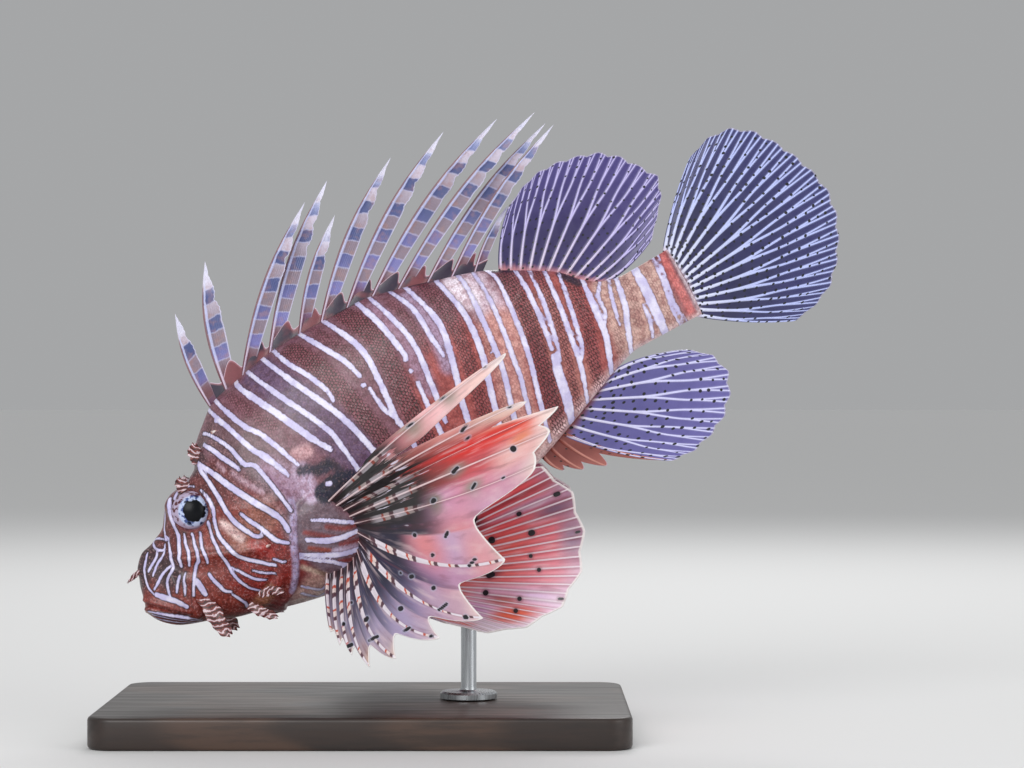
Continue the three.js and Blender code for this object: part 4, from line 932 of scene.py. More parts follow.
# Spiny part of the dorsal fin
# Twelve stiff spines stand along the back, each the front edge of a narrow blade of skin with
# alternating smoky and pale blocks. A low dark web joins their feet.
DORSAL_SPINES = [
    (57, 37, 85, 5.4), (66, 49, 74, 7.2), (75, 68, 43, 6.2), (88, 68, 45, 6.4), (101, 46, 47, 5.2),
    (111, 67, 40.5, 6), (122.5, 75, 34, 6), (133, 82, 28, 6), (143, 84, 25, 5.6),
    (154, 75, 26.5, 5.4), (163, 69, 29, 5), (171, 28, 38, 3.6),
]
SPINE_LEAN = math.radians(3.2)
SPINE_SUNK = 5
SPINE_HALF = 0.85
SPINE_WEB_HALF = 0.26
SPINE_BLOCK = 5.6
WEB_FOOT = -3
WEB_AT_SPINE = 0.18
WEB_TALLEST = 10
WEB_BETWEEN = 3.6
WEB_FOOT_HALF = 0.7
WEB_GRID = (420, 24)
BLADE_GRID = (22, 110)
BLADE_ARCH = 0.035
BLADE_THINNEST = 0.1
SCALLOP_PITCH = 1.7
SCALLOP_DEPTH = 0.5
SPINE_PLACE = 0.16
SPINE_SPREAD = 0.15
SPINE_THINNING = 0.62
SPINE_LINE = 0.2


def slab(columns, rows):
    """A flat closed plate of unit size, with its two faces at 0 and 1 in z"""
    form = bmesh.new()
    bmesh.ops.create_grid(form, x_segments=columns, y_segments=rows, size=0.5)
    bmesh.ops.translate(form, verts=form.verts, vec=(0.5, 0.5, 0))
    bottom = list(form.faces)
    bmesh.ops.reverse_faces(form, faces=bottom)
    top = bmesh.ops.duplicate(form, geom=list(form.verts) + list(form.edges) + bottom)["geom"]
    top_faces = [part for part in top if isinstance(part, bmesh.types.BMFace)]
    top_verts = [part for part in top if isinstance(part, bmesh.types.BMVert)]
    bmesh.ops.translate(form, verts=top_verts, vec=(0, 0, 1))
    bmesh.ops.reverse_faces(form, faces=top_faces)
    rims = [edge for edge in form.edges if edge.is_boundary]
    bmesh.ops.bridge_loops(form, edges=rims)
    bmesh.ops.recalc_face_normals(form, faces=form.faces)
    return form


rng = np.random.default_rng(7)
blades = bmesh.new()
blade_marks = []
for number, (foot_s, length, angle, width) in enumerate(DORSAL_SPINES):
    lean = SPINE_LEAN * (1 if number % 2 else -1)
    angle = math.radians(angle)
    along = np.array([math.cos(angle), math.sin(lean), math.sin(angle)])
    along /= np.linalg.norm(along)
    behind = np.array([math.sin(angle), 0, -math.cos(angle)])
    foot = np.array([foot_s, bend(np.float64(foot_s)), back_height(foot_s)]) - along * SPINE_SUNK
    whole = length + SPINE_SUNK
    blade = mesh_of("blade", slab(*BLADE_GRID))
    x, y, z = coordinates(blade).T
    wave = 2 * math.pi * (y * whole / (SCALLOP_PITCH * SPINE_BLOCK) + rng.random())
    scallop = 0.5 + 0.5 * np.abs(np.sin(wave / 2)) ** 0.7 - 0.06 * np.sin(y * whole * 3.1 + number)
    scallop = 1 + (scallop - 0.92) * SCALLOP_DEPTH * smooth_step(y, 0.5, 0.68)
    breadth = width * (0.62 + 0.47 * np.sin(np.pi * y**1.05)) * (1 - y**5)
    ridge = np.exp(-(((x - SPINE_PLACE) / SPINE_SPREAD) ** 2))
    half = SPINE_HALF * (1 - SPINE_THINNING * y) * ridge + SPINE_WEB_HALF * (1 - x)
    half = np.maximum(half * (1 - y**8), BLADE_THINNEST)
    arch = BLADE_ARCH * length * 4 * y * (y - 1)
    back_edge = (x * scallop - 0.5) * breadth
    place = foot + along * (whole * y)[:, None] + behind * (arch + back_edge)[:, None]
    place[:, 1] += (2 * z - 1) * half
    set_coordinates(blade, place)
    blade_marks.append(np.column_stack([x, y * whole - SPINE_SUNK, np.full(len(x), length)]))
    blades.from_mesh(blade)
    bpy.data.meshes.remove(blade)
spines = mesh_of("dorsal_spines", blades)
marks = np.vstack(blade_marks)
add_map(spines, marks[:, 0], marks[:, 1])
add_attribute(spines, "length", marks[:, 2])

spine_finish, tree, shader = finish_of("spine_blade", Coat_Weight=0.2, Coat_Roughness=0.2)
map_u, map_v = surface_map(tree)
length_value = stored(tree, "length")
waver = noise(tree, own_place(tree), 300.0, 3.0)
run = plus(tree, map_v, times(tree, waver, 2.0))
run = plus(tree, run, times(tree, map_u, -1.6))
phase = plus(tree, run, times(tree, length_value, 0.7))
wave = calculate(tree, "SINE", times(tree, phase, math.pi / SPINE_BLOCK))
blocks = ramp(tree, wave, -0.2, 0.2)
share = calculate(tree, "DIVIDE", map_v, length_value)
tan = wash(tree, "#887888", "#d6cce0", share, 0.45, 0.85)
smoky = wash(tree, "#7876b4", "#4a5488", share, 0.15, 0.5)
smoky = wash(tree, smoky, "#98a2d2", share, 0.7, 0.9)
block_colour = blend(tree, blocks, tan, smoky)
warm = wash(tree, block_colour, "#a87c76", waver, 0.45, 0.68, 0.0, 0.4)
border = ramp(tree, calculate(tree, "ABSOLUTE", wave), 0.0, 0.3, 0.45, 0.0)
bordered = blend(tree, border, warm, "#c6c6e8")
front = wash(tree, bordered, "#8a686e", map_u, 0.13, 0.07)
from_line = calculate(tree, "ABSOLUTE", minus(tree, map_u, SPINE_LINE))
lined = wash(tree, front, "#c3c8f0", from_line, 0.09, 0.04, 0.0, 0.85)
edged = wash(tree, lined, "#d2d0ea", map_u, 0.9, 0.97, 0.0, 0.8)
from_tip = minus(tree, length_value, map_v)
tip_run = plus(tree, from_tip, times(tree, waver, 8.0))
tipped = wash(tree, edged, "#e4e2f6", tip_run, 17.0, 10.0, 0.0, 0.9)
footed = wash(tree, tipped, "#6e3c46", map_v, 11.0, 4.0, 0.0, 0.85)
foot_line = times(tree, ramp(tree, from_line, 0.09, 0.04), ramp(tree, map_v, 13.0, 6.0))
footed = blend(tree, foot_line, footed, "#d8c6dc")
wet_coat(tree, shader, footed)
striae = calculate(tree, "SINE", times(tree, map_u, 55.0))
relief(tree, shader, striae, 0.3, 0.0001)
add_piece(spines, "spine_blade", spine_finish, "spiny_dorsal_fin")

web_heights = []
for number, (foot_s, length, angle, _) in enumerate(DORSAL_SPINES):
    web_heights.append((foot_s + 1.5, min(WEB_AT_SPINE * length, WEB_TALLEST), angle))
    if number + 1 < len(DORSAL_SPINES):
        after = DORSAL_SPINES[number + 1]
        web_heights.append(((foot_s + after[0]) / 2 + 1, WEB_BETWEEN, (angle + after[2]) / 2))
web = mesh_of("dorsal_web", slab(*WEB_GRID))
x, y, z = coordinates(web).T
foot_s = web_heights[0][0] + x * (web_heights[-1][0] - web_heights[0][0])
height_at = smooth_through([(place, height) for place, height, angle in web_heights])
angle_at = smooth_through([(place, math.radians(angle)) for place, height, angle in web_heights])
climb = WEB_FOOT + y * (height_at(foot_s) - WEB_FOOT)
web_half = WEB_FOOT_HALF + (SPINE_WEB_HALF - WEB_FOOT_HALF) * y
place = np.column_stack(
    [
        foot_s + climb * np.cos(angle_at(foot_s)),
        bend(foot_s) + (2 * z - 1) * web_half,
        back_height(foot_s) + climb * np.sin(angle_at(foot_s)),
    ]
)
set_coordinates(web, place)
add_map(web, foot_s, climb)
add_attribute(web, "margin", height_at(foot_s) - climb)
web_finish, tree, shader = finish_of("dark_fin_web", Coat_Weight=0.2, Coat_Roughness=0.2)
margin_value = stored(tree, "margin")
cloud = noise(tree, own_place(tree), 75.0, 3.0)
dark_web = wash(tree, "#2a1c36", "#7c3c44", cloud, 0.46, 0.58)
dark_web = wash(tree, dark_web, "#b07a84", margin_value, 1.2, 0.4, 0.0, 0.7)
dark_web = wash(tree, dark_web, "#d8c6d8", margin_value, 0.4, 0.15)
wet_coat(tree, shader, dark_web)
add_piece(web, "dark_fin_web", web_finish, "spiny_dorsal_fin")

# Soft dorsal, tail and anal fins
# Thin webs over soft rays, which branch towards the margin and end in small points. The web is
# dark, the rays are pale and rows of small black dots follow them.
RAY_HALF_ROOT = 0.85
RAY_HALF_TIP = 0.34
FIN_WEB_HALF = 0.27
RIM_BREADTH = 0.9
COLUMNS_PER_RAY = 24
HOLLOW_POWER = 7
LOBE_FULLNESS = 0.5
LOBE_ROUNDNESS = 0.45
BLADE_ROUNDNESS = 0.6
FORK_LENGTH = 0.4
SECOND_FORK_DELAY = 0.35
FORK_SHARES = (0.25, 0.125)
FIN_STEP = 0.004
RAY_SPREAD = 0.55
BRANCH_SPREAD = 0.75
LEAST_RIDGE = 0.12
DOT_SHIFT = 0.37
NO_FORK = 1.2


def plain_edges(count, dip=0.0):
    """Rays without free blades or hollow sides, whose web dips between them by a little"""
    return {
        "blade": np.zeros(count),
        "hollow": np.zeros(count, bool),
        "round": np.full(count, BLADE_ROUNDNESS),
        "dip": np.full(count, dip),
    }


def rays_between(base, margin, count, sideways, bow, held, fork, sunk):
    """The rays of a middle fin between its base line and its margin, both in side view"""
    foot = curve_through(base, count)
    end = curve_through(margin, count)
    u = np.linspace(0, 1, count)
    inward = foot - end
    foot = foot + inward / np.linalg.norm(inward, axis=1)[:, None] * sunk
    across = end - foot
    sideways_on = np.column_stack([-across[:, 1], across[:, 0]])
    sideways_on /= np.linalg.norm(sideways_on, axis=1)[:, None]
    middle = (foot + end) / 2 + sideways_on * (bow * (1 - 2 * u))[:, None]
    lift = sideways(u)
    half_way = (bend(foot[:, 0]) + bend(end[:, 0]) + lift) / 2
    return {
        "root": np.column_stack([foot[:, 0], bend(foot[:, 0]), foot[:, 1]]),
        "middle": np.column_stack([middle[:, 0], half_way, middle[:, 1]]),
        "tip": np.column_stack([end[:, 0], bend(end[:, 0]) + lift, end[:, 1]]),
        "before": np.full(count, held),
        "after": np.full(count, held),
        "fork": np.full(count, fork),
        **plain_edges(count),
    }


def hollow_edge(share):
    """How far out a hollow web reaches at a share of its breadth"""
    free = np.linspace(0, 1, 600) ** HOLLOW_POWER
    fallen = (1 - LOBE_FULLNESS) * (1 - free ** (1 / HOLLOW_POWER))
    breadth = fallen + LOBE_FULLNESS * (1 - free) ** LOBE_ROUNDNESS
    return np.interp(share, breadth[::-1], free[::-1])


def along_ray(rays, k, t):
    """Place at a fraction of a ray's length"""
    t = t[:, None]
    root, middle, tip = (rays[part][k] for part in ("root", "middle", "tip"))
    return (1 - t) ** 2 * root + 2 * t * (1 - t) * middle + t**2 * tip


def on_fin(rays, x, y):
    """Place on a fin's middle surface, and the ray, side and fraction of length there"""
    count = len(rays["root"])
    across = x * count - 0.5
    own = np.clip(np.rint(across).astype(int), 0, count - 1)
    facing = np.where(across >= own, 1, -1)
    other = own + facing
    outside = (other < 0) | (other >= count)
    other = np.where(outside, own - facing, other)
    share = np.clip(2 * np.abs(across - own), 0, 1)
    held = np.where(facing > 0, rays["after"][own], rays["before"][own])
    held_other = np.where(facing > 0, rays["before"][other], rays["after"][other])
    hollow = (facing > 0) & rays["hollow"][own]
    edge = np.where(hollow, hollow_edge(share), 1 - share ** (1 / rays["round"][own]))
    dip = np.where(outside, 0, rays["dip"][np.minimum(own, other)]) * share * (2 - share)
    t = y * (held * (1 - dip) + (1 - held) * edge)
    webbed = np.minimum(t, held)
    middle = along_ray(rays, own, t)
    over = along_ray(rays, other, webbed / held * held_other) - along_ray(rays, own, webbed)
    gap = np.linalg.norm(over, axis=1)
    free = smooth_step(t, held, held + 0.3 * (1 - held) + 1e-6)
    wide = np.maximum(gap / 2, gap / 2 + (rays["blade"][own] - gap / 2) * free)
    rim = np.maximum(RIM_BREADTH, rays["blade"][own] * smooth_step(t, held * 0.4, held + 0.1))
    wide = np.where(outside, -rim * smooth_step(t, -0.2, 0.15), wide)
    unit = over / np.maximum(gap, 1e-6)[:, None]
    return middle + unit * (share * wide)[:, None], own, across, t, np.abs(wide)


def branch_distance(across, own, t, wide, fork):
    """Distance in millimetres from the nearest branch of a ray"""
    away = np.abs(across - own)
    later = fork + SECOND_FORK_DELAY
    first = FORK_SHARES[0] * smooth_step(t, fork, fork + FORK_LENGTH)
    second = FORK_SHARES[1] * smooth_step(t, later, later + FORK_LENGTH)
    return np.abs(np.abs(away - first) - second) * 2 * wide


def fin_mesh(name, rays, rows, thick=1.0):
    """A fin: a thin web with its rays raised on both faces"""
    count = len(rays["root"])
    fin = mesh_of(name, slab(count * COLUMNS_PER_RAY, rows))
    x, y, z = coordinates(fin).T
    middle, own, across, t, wide = on_fin(rays, x, y)
    right = on_fin(rays, np.clip(x + FIN_STEP / count, 0, 1), y)[0]
    left = on_fin(rays, np.clip(x - FIN_STEP / count, 0, 1), y)[0]
    outer = on_fin(rays, x, np.clip(y + FIN_STEP, 0, 1))[0]
    inner = on_fin(rays, x, np.clip(y - FIN_STEP, 0, 1))[0]
    normal = np.cross(right - left, outer - inner)
    normal /= np.maximum(np.linalg.norm(normal, axis=1), 1e-9)[:, None]
    away = branch_distance(across, own, t, wide, rays["fork"][own])
    ridge = thick * (RAY_HALF_ROOT * (1 - t) + RAY_HALF_TIP * t)
    parts = np.where(t > rays["fork"][own], BRANCH_SPREAD, 1.0)
    profile = np.exp(-((away / (RAY_SPREAD * parts)) ** 2))
    half = FIN_WEB_HALF + np.maximum(ridge - FIN_WEB_HALF, LEAST_RIDGE) * profile
    half *= 1 - 0.5 * smooth_step(y, 0.97, 1.0)
    set_coordinates(fin, middle + normal * ((2 * z - 1) * half)[:, None])
    length = np.linalg.norm(rays["tip"] - rays["root"], axis=1)[own]
    add_map(fin, across, t)
    add_attribute(fin, "spacing", 2 * wide)
    add_attribute(fin, "out", t * length)
    add_attribute(fin, "fork", rays["fork"][own])
    add_attribute(fin, "margin", (1 - y) * length)
    return fin, across, t, middle


# Branching rays as a pattern: how near a ray's line is, for the colour of rays and webs
ray_lines, inside, result = effect(
    "ray_lines",
    [("Root Half", "Float", 0.7), ("Tip Half", "Float", 0.28)],
    [("Ray", "Float"), ("Away", "Float")],
)
map_u, map_v = surface_map(ray_lines)
spacing = stored(ray_lines, "spacing")
fork = stored(ray_lines, "fork")
centred = calculate(ray_lines, "FRACT", plus(ray_lines, map_u, 0.5))
away = calculate(ray_lines, "ABSOLUTE", minus(ray_lines, centred, 0.5))
past_fork = minus(ray_lines, map_v, fork)
first = ramp(ray_lines, past_fork, 0.0, FORK_LENGTH, 0.0, FORK_SHARES[0])
past_second = minus(ray_lines, past_fork, SECOND_FORK_DELAY)
second = ramp(ray_lines, past_second, 0.0, FORK_LENGTH, 0.0, FORK_SHARES[1])
away = calculate(ray_lines, "ABSOLUTE", minus(ray_lines, away, first))
away = calculate(ray_lines, "ABSOLUTE", minus(ray_lines, away, second))
away = times(ray_lines, away, spacing)
inputs = {
    "Value": map_v,
    "To Min": inside.outputs["Root Half"],
    "To Max": inside.outputs["Tip Half"],
}
line_half = add_node(ray_lines, "MapRange", inputs).outputs["Result"]
relative = minus(ray_lines, away, line_half)
ray_lines.links.new(ramp(ray_lines, relative, -0.12, 0.14, 1.0, 0.0), result.inputs["Ray"])
ray_lines.links.new(away, result.inputs["Away"])

# Rows of dots that follow the rays: one to a cell, moved and sized at random
dot_rows, inside, result = effect(
    "dot_rows",
    [("Pitch", "Float", 4.0), ("Radius", "Float", 0.4), ("Share", "Float", 0.8)],
    [("Dot", "Float")],
)
map_u = surface_map(dot_rows)[0]
spacing = stored(dot_rows, "spacing")
out_value = stored(dot_rows, "out")
cell_x = times(dot_rows, map_u, 2)
cell_y = calculate(dot_rows, "DIVIDE", out_value, inside.outputs["Pitch"])
column = calculate(dot_rows, "FLOOR", cell_x)
shifted = plus(dot_rows, cell_y, times(dot_rows, column, DOT_SHIFT))
row = calculate(dot_rows, "FLOOR", shifted)
cell = add_node(dot_rows, "CombineXYZ", {"X": column, "Y": row})
cell = cell.outputs["Vector"]
chance = add_node(dot_rows, "TexWhiteNoise", {"Vector": cell}, noise_dimensions="3D")
draws = add_node(dot_rows, "SeparateXYZ", {0: chance.outputs["Color"]})
centre_x = ramp(dot_rows, draws.outputs["X"], 0, 1, 0.3, 0.7, False)
centre_y = ramp(dot_rows, draws.outputs["Y"], 0, 1, 0.3, 0.7, False)
off_x = minus(dot_rows, minus(dot_rows, cell_x, column), centre_x)
off_x = times(dot_rows, times(dot_rows, off_x, spacing), 0.5)
off_y = minus(dot_rows, minus(dot_rows, shifted, row), centre_y)
off_y = times(dot_rows, off_y, inside.outputs["Pitch"])
squares = plus(dot_rows, times(dot_rows, off_x, off_x), times(dot_rows, off_y, off_y))
from_centre = calculate(dot_rows, "SQRT", squares)
larger = ramp(dot_rows, draws.outputs["Z"], 0, 1, 0.75, 1.3, False)
size = times(dot_rows, inside.outputs["Radius"], larger)
there = calculate(dot_rows, "LESS_THAN", chance.outputs["Value"], inside.outputs["Share"])
dot = ramp(dot_rows, minus(dot_rows, from_centre, size), -0.1, 0.12, 1.0, 0.0)
dot_rows.links.new(times(dot_rows, dot, there), result.inputs["Dot"])


def soft_fin_finish(name, web, web_out, ray, ray_foot, foot, foot_reach, dots, lines):
    """The finish of a soft fin from its colours, its dots and its rays' breadth"""
    material, tree, shader = finish_of(name, Coat_Weight=0.25, Coat_Roughness=0.16)
    out_value = stored(tree, "out")
    margin_value = stored(tree, "margin")
    map_v = surface_map(tree)[1]
    cloud = noise(tree, own_place(tree), 60.0, 3.0)
    web_colour = wash(tree, web, web_out, map_v, 0.35, 1.0)
    web_colour = wash(tree, web_colour, web_out, cloud, 0.4, 0.7, 0.0, 0.5)
    pattern = shared(tree, ray_lines, {"Root Half": lines[0], "Tip Half": lines[1]})
    ray_colour = wash(tree, ray_foot, ray, map_v, 0.0, 0.6)
    halo = ramp(tree, pattern.outputs["Away"], 0.2, 0.9, 0.25, 0.0)
    webbed = blend(tree, halo, web_colour, ray_colour)
    rayed = blend(tree, pattern.outputs["Ray"], webbed, ray_colour)
    rayed = wash(tree, rayed, "#d6cfe2", margin_value, 0.7, 0.2, 0.0, 0.6)
    rayed = wash(tree, rayed, foot, out_value, foot_reach + 3, foot_reach - 1)
    dotting = shared(tree, dot_rows, dots)
    dotted = blend(tree, dotting.outputs["Dot"], rayed, "#0b0a14")
    wet_coat(tree, shader, dotted, 0.18)
    joints = calculate(tree, "SINE", times(tree, out_value, 7.0))
    beads = times(tree, joints, pattern.outputs["Ray"])
    relief(tree, shader, beads, 0.25, 0.0001)
    return material


SOFT_DORSAL = {
    "base": [(179.5, 41.6), (188, 36.8), (198, 30.4), (205, 24), (211, 19.8)],
    "margin": [
        (194, 62.6), (206, 68.2), (219, 68.6), (236, 63.6), (246, 52), (250.5, 43.5), (245, 35),
        (236.5, 25.5),
    ],
    "count": 12,
    "sideways": lambda u: 5 * np.sin(np.pi * u) - 2,
    "bow": 4,
    "held": 0.98,
    "fork": 0.4,
    "sunk": 4,
}
TAIL_FIN = {
    "base": [(238, 17.4), (238.6, 10), (238.8, 4.4), (238.4, -2), (237.6, -8.6)],
    "margin": [
        (266, 46.6), (279, 50.2), (291, 44.6), (301.6, 27.6), (306.8, 8), (301, -10.6),
        (288, -25.4), (272, -29.6),
    ],
    "count": 14,
    "sideways": lambda u: 6 - 5 * np.sin(np.pi * u),
    "bow": 3.2,
    "held": 0.985,
    "fork": 0.3,
    "sunk": 3.4,
}
ANAL_FIN = {
    "base": [(171, -25.4), (180, -21.6), (189, -17.6), (197, -14.2)],
    "margin": [
        (203, -54.6), (211, -55.4), (227.3, -50), (237.4, -38), (236.8, -27.6), (229, -20.2),
    ],
    "count": 8,
    "sideways": lambda u: 3 * np.sin(np.pi * u),
    "bow": -4.5,
    "held": 0.98,
    "fork": 0.35,
    "sunk": 4,
}
# Its three spines: foot and tip in side view; then, for them and the first soft ray, how far
# the web reaches before and after each and how broad its free end is
ANAL_SPINES = [
    ((158.6, -26.6), (163, -37.6)), ((162.6, -25.4), (170, -41)), ((167, -24.6), (178.6, -44)),
]
ANAL_SPINE_WEBS = {
    "before": (0.7, 0.7, 0.72, 0.5), "after": (0.7, 0.7, 0.6, 0.5), "blade": (0.9, 0.9, 0.9, 0.5),
}
ANAL_SPINE_BOW = (-1.5, 0, -1.5)

dorsal_finish = soft_fin_finish(
    "soft_dorsal_web", "#31285a", "#463c7c", "#c4bbee", "#e2d4e8", "#c8848c", 4.0,
    {"Pitch": 4.4, "Radius": 0.4, "Share": 0.8}, (0.5, 0.19),
)
add_piece(
    fin_mesh("soft_dorsal", rays_between(**SOFT_DORSAL), 70)[0],
    "dark_fin_web", dorsal_finish, "soft_dorsal_fin",
)
tail_finish = soft_fin_finish(
    "tail_web", "#26264e", "#34346a", "#bcc6fa", "#e2e6fc", "#dccbd8", 4.0,
    {"Pitch": 4.2, "Radius": 0.5, "Share": 0.8}, (0.66, 0.24),
)
add_piece(
    fin_mesh("tail_fan", rays_between(**TAIL_FIN), 90)[0], "dark_fin_web", tail_finish, "tail_fin"
)
anal_finish = soft_fin_finish(
    "anal_web", "#5a5692", "#6862a4", "#d6d6fc", "#e2e0f6", "#7a3634", 4.0,
    {"Pitch": 4.4, "Radius": 0.58, "Share": 0.8}, (0.6, 0.22),
)
anal_rays = rays_between(**ANAL_FIN)
add_piece(fin_mesh("anal_web", anal_rays, 70)[0], "dark_fin_web", anal_finish, "anal_fin")

count = len(ANAL_SPINES) + 1
spine_rays = plain_edges(count)
for key, end in (("root", 0), ("tip", 1)):
    s1, h1 = np.array([spine[end] for spine in ANAL_SPINES]).T
    places = np.column_stack([s1, bend(s1), h1])
    spine_rays[key] = np.vstack([places, anal_rays[key][:1]])
spine_rays["middle"] = (spine_rays["root"] + spine_rays["tip"]) / 2 + ANAL_SPINE_BOW
spine_rays["middle"][-1] = anal_rays["middle"][0]
spine_rays.update({key: np.array(values) for key, values in ANAL_SPINE_WEBS.items()})
spine_rays["fork"] = np.full(count, NO_FORK)
anal_spine_finish = soft_fin_finish(
    "anal_spine_web", "#7a3a34", "#a8645c", "#c98a7c", "#8f4a40", "#7a3a34", 1.0,
    {"Pitch": 3.0, "Radius": 0.4, "Share": 0.3}, (0.6, 0.4),
)
add_piece(fin_mesh("anal_spines", spine_rays, 40)[0], "dark_fin_web", anal_spine_finish, "anal_fin")

# Pectoral fins
# Thirteen stout rays spread from the fleshy lobe behind the gill. The upper two end in long
# free blades, and each lower web runs out to the tip of its lower ray, leaving hollow lobes.
PECTORAL_RAYS = [
    {"tip": (164.9, 70, 12.1), "web": (0.3, 0.3), "bow": (0, 3), "blade": 7, "round": 0.5},
    {"tip": (162.2, 77, -6.4), "web": (0.66, 0.88), "bow": (0, 3), "blade": 3},
    {"tip": (172.4, 81, -13.8), "web": (0.93, 0.94), "bow": (0, 2)},
    {"tip": (165.4, 84, -20.4), "web": (0.95, 0.96), "bow": (0, 0)},
    {"tip": (155.2, 86, -28.4), "web": (0.6, 0.97), "bow": (3, -5), "dip": 0.05},
    {"tip": (129.6, 86, -52.9), "web": (0.66, 0.97), "bow": (-4, -13), "dip": 0.05},
    {"tip": (112.4, 80, -68.1), "web": (0.64, 0.97), "bow": (-9, -12), "dip": 0.06},
    {"tip": (95.2, 76, -67.2), "web": (0.66, 0.97), "bow": (-13, -10), "dip": 0.06},
    {"tip": (77.2, 70, -66.6), "web": (0.7, 0.97), "bow": (-11, -6), "dip": 0.05},
    {"tip": (66.6, 62, -65.4), "web": (0.74, 0.97), "bow": (-8, -3), "dip": 0.03},
    {"tip": (62.3, 55, -58.8), "web": (0.78, 0.97), "bow": (-5, -2), "dip": 0.03},
    {"tip": (59.7, 50, -53.7), "web": (0.8, 0.97), "bow": (-3, -2), "dip": 0.03},
    {"tip": (58.7, 46, -48), "web": (0.97, 0.97), "bow": (-2, -2)},
]
HOLLOW_FROM, HOLLOW_TO = 4, 11
PECTORAL_BULGE = 7
PECTORAL_FOOT = [
    (79, -5), (82.4, -11), (83.6, -17), (82.6, -22.6), (78.6, -27.4), (72, -29.4), (65.6, -29),
]
FOOT_SUNK = 0.6
# Colours along each ray's part of the web, at these fractions of its length
COAT_STOPS = (0.05, 0.25, 0.45, 0.65, 0.85, 1.0)
PECTORAL_COATS = [
    ("#3a303c", "#5a3c40", "#db8c92", "#fac6c8", "#fad2cc", "#f8eeee"),
    ("#2a2028", "#40292c", "#a85a54", "#d88c86", "#e8c0b4", "#f6e8e4"),
    ("#140e12", "#221616", "#b03c38", "#d82c26", "#ea6450", "#f8e0da"),
    ("#120c0e", "#1c1211", "#8c3a3a", "#cc5258", "#e08084", "#f2d6d0"),
    ("#140f10", "#2a1c26", "#d69cbc", "#dc8a9e", "#d69aae", "#f0d4d0"),
    ("#201b2c", "#181224", "#ba88ae", "#c28fb0", "#cf94a6", "#ecccc8"),
    ("#2a2740", "#15152a", "#8f80a8", "#bb9cb6", "#c8a2b4", "#e8ccca"),
    ("#34303e", "#201e32", "#8a80a0", "#aa9abc", "#b8a2bc", "#e2ccce"),
    ("#34303e", "#242236", "#8a84a0", "#a496b2", "#b29eae", "#dcc4b8"),
    ("#34303e", "#242138", "#706a88", "#90849c", "#ab949c", "#d2b098"),
    *[("#34303e", "#201d30", "#625c74", "#82788e", "#9c888e", "#caae9c")] * 3,
]
# Soft oval patches: colour, ray, fraction of its length, half breadth in rays, half length
PECTORAL_PATCHES = [
    ("#b23a38", 1.55, 0.5, 0.5, 0.1), ("#e02a24", 1.9, 0.66, 0.36, 0.2),
    ("#fae2dc", 2.05, 1.0, 0.55, 0.09), ("#eebab6", 3.2, 0.84, 0.5, 0.1),
    ("#e88a6a", 2.75, 0.86, 0.3, 0.05), ("#9c8f84", -0.1, 0.5, 0.5, 0.05),
    ("#a79a90", -0.1, 0.7, 0.4, 0.04), ("#8d8178", 2.93, 0.55, 0.3, 0.05),
    ("#9a8f86", 3.83, 0.64, 0.25, 0.05), ("#8c8a78", 3.87, 0.43, 0.3, 0.04),
    ("#cca6c4", 4.55, 0.68, 0.45, 0.18), ("#26233a", 4.6, 0.26, 0.42, 0.18),
    ("#262644", 5.62, 0.32, 0.44, 0.2), ("#30304a", 6.68, 0.3, 0.42, 0.2),
    ("#3a3a54", 7.7, 0.36, 0.42, 0.2), ("#424056", 8.7, 0.42, 0.42, 0.2),
    ("#e08a90", 4.66, 0.5, 0.42, 0.12), ("#e09ca4", 4.9, 0.86, 0.4, 0.1),
]
BANDED_FROM = 5
BAND_BLOCK = 12.0
SPOT_COLOUR = "#0b0a14"


def pectoral_rays(facing):
    count = len(PECTORAL_RAYS)
    foot = curve_through(PECTORAL_FOOT, count)
    out = bend(foot[:, 0]) + facing * (flank(foot[:, 0], foot[:, 1]) + FOOT_SUNK)
    root = np.column_stack([foot[:, 0], out, foot[:, 1]])
    tip = np.array([ray["tip"] for ray in PECTORAL_RAYS], float) * (1, facing, 1)
    bulge = facing * PECTORAL_BULGE
    bow = np.array([(ray["bow"][0], bulge, ray["bow"][1]) for ray in PECTORAL_RAYS])
    after = np.array([ray["web"][0] for ray in PECTORAL_RAYS])
    number = np.arange(count)
    return {
        "root": root,
        "middle": (root + tip) / 2 + bow,
        "tip": tip,
        "before": np.array([after[0], *(ray["web"][1] for ray in PECTORAL_RAYS[:-1])]),
        "after": after,
        "blade": np.array([ray.get("blade", 0) for ray in PECTORAL_RAYS], float),
        "hollow": (number >= HOLLOW_FROM) & (number <= HOLLOW_TO),
        "round": np.array([ray.get("round", BLADE_ROUNDNESS) for ray in PECTORAL_RAYS]),
        "dip": np.array([ray.get("dip", 0) for ray in PECTORAL_RAYS]),
        "fork": np.full(count, NO_FORK),
    }


def coat_colours(coats, patches, across, t):
    """The colour at each place from the rays' own colours, half way shared, with patches over it"""
    ramps = np.array([[linear(colour) for colour in coat] for coat in coats])
    low = np.clip(np.floor(across).astype(int), 0, len(coats) - 1)
    high = np.clip(low + 1, 0, len(coats) - 1)
    k = np.clip(np.searchsorted(COAT_STOPS, t) - 1, 0, len(COAT_STOPS) - 2)
    stops = np.array(COAT_STOPS)
    f = smooth_step(t, stops[k], stops[k + 1])[:, None]
    of_low = ramps[low, k] * (1 - f) + ramps[low, k + 1] * f
    of_high = ramps[high, k] * (1 - f) + ramps[high, k + 1] * f
    g = smooth_step(across - low, 0.2, 0.8)[:, None]
    coat = of_low * (1 - g) + of_high * g
    for colour, number, place, half_rays, half_length in patches:
        away = np.hypot((across - number) / half_rays, (t - place) / half_length)
        coat += (linear(colour) - coat) * smooth_step(-away, -1.7, -0.1)[:, None]
    return coat


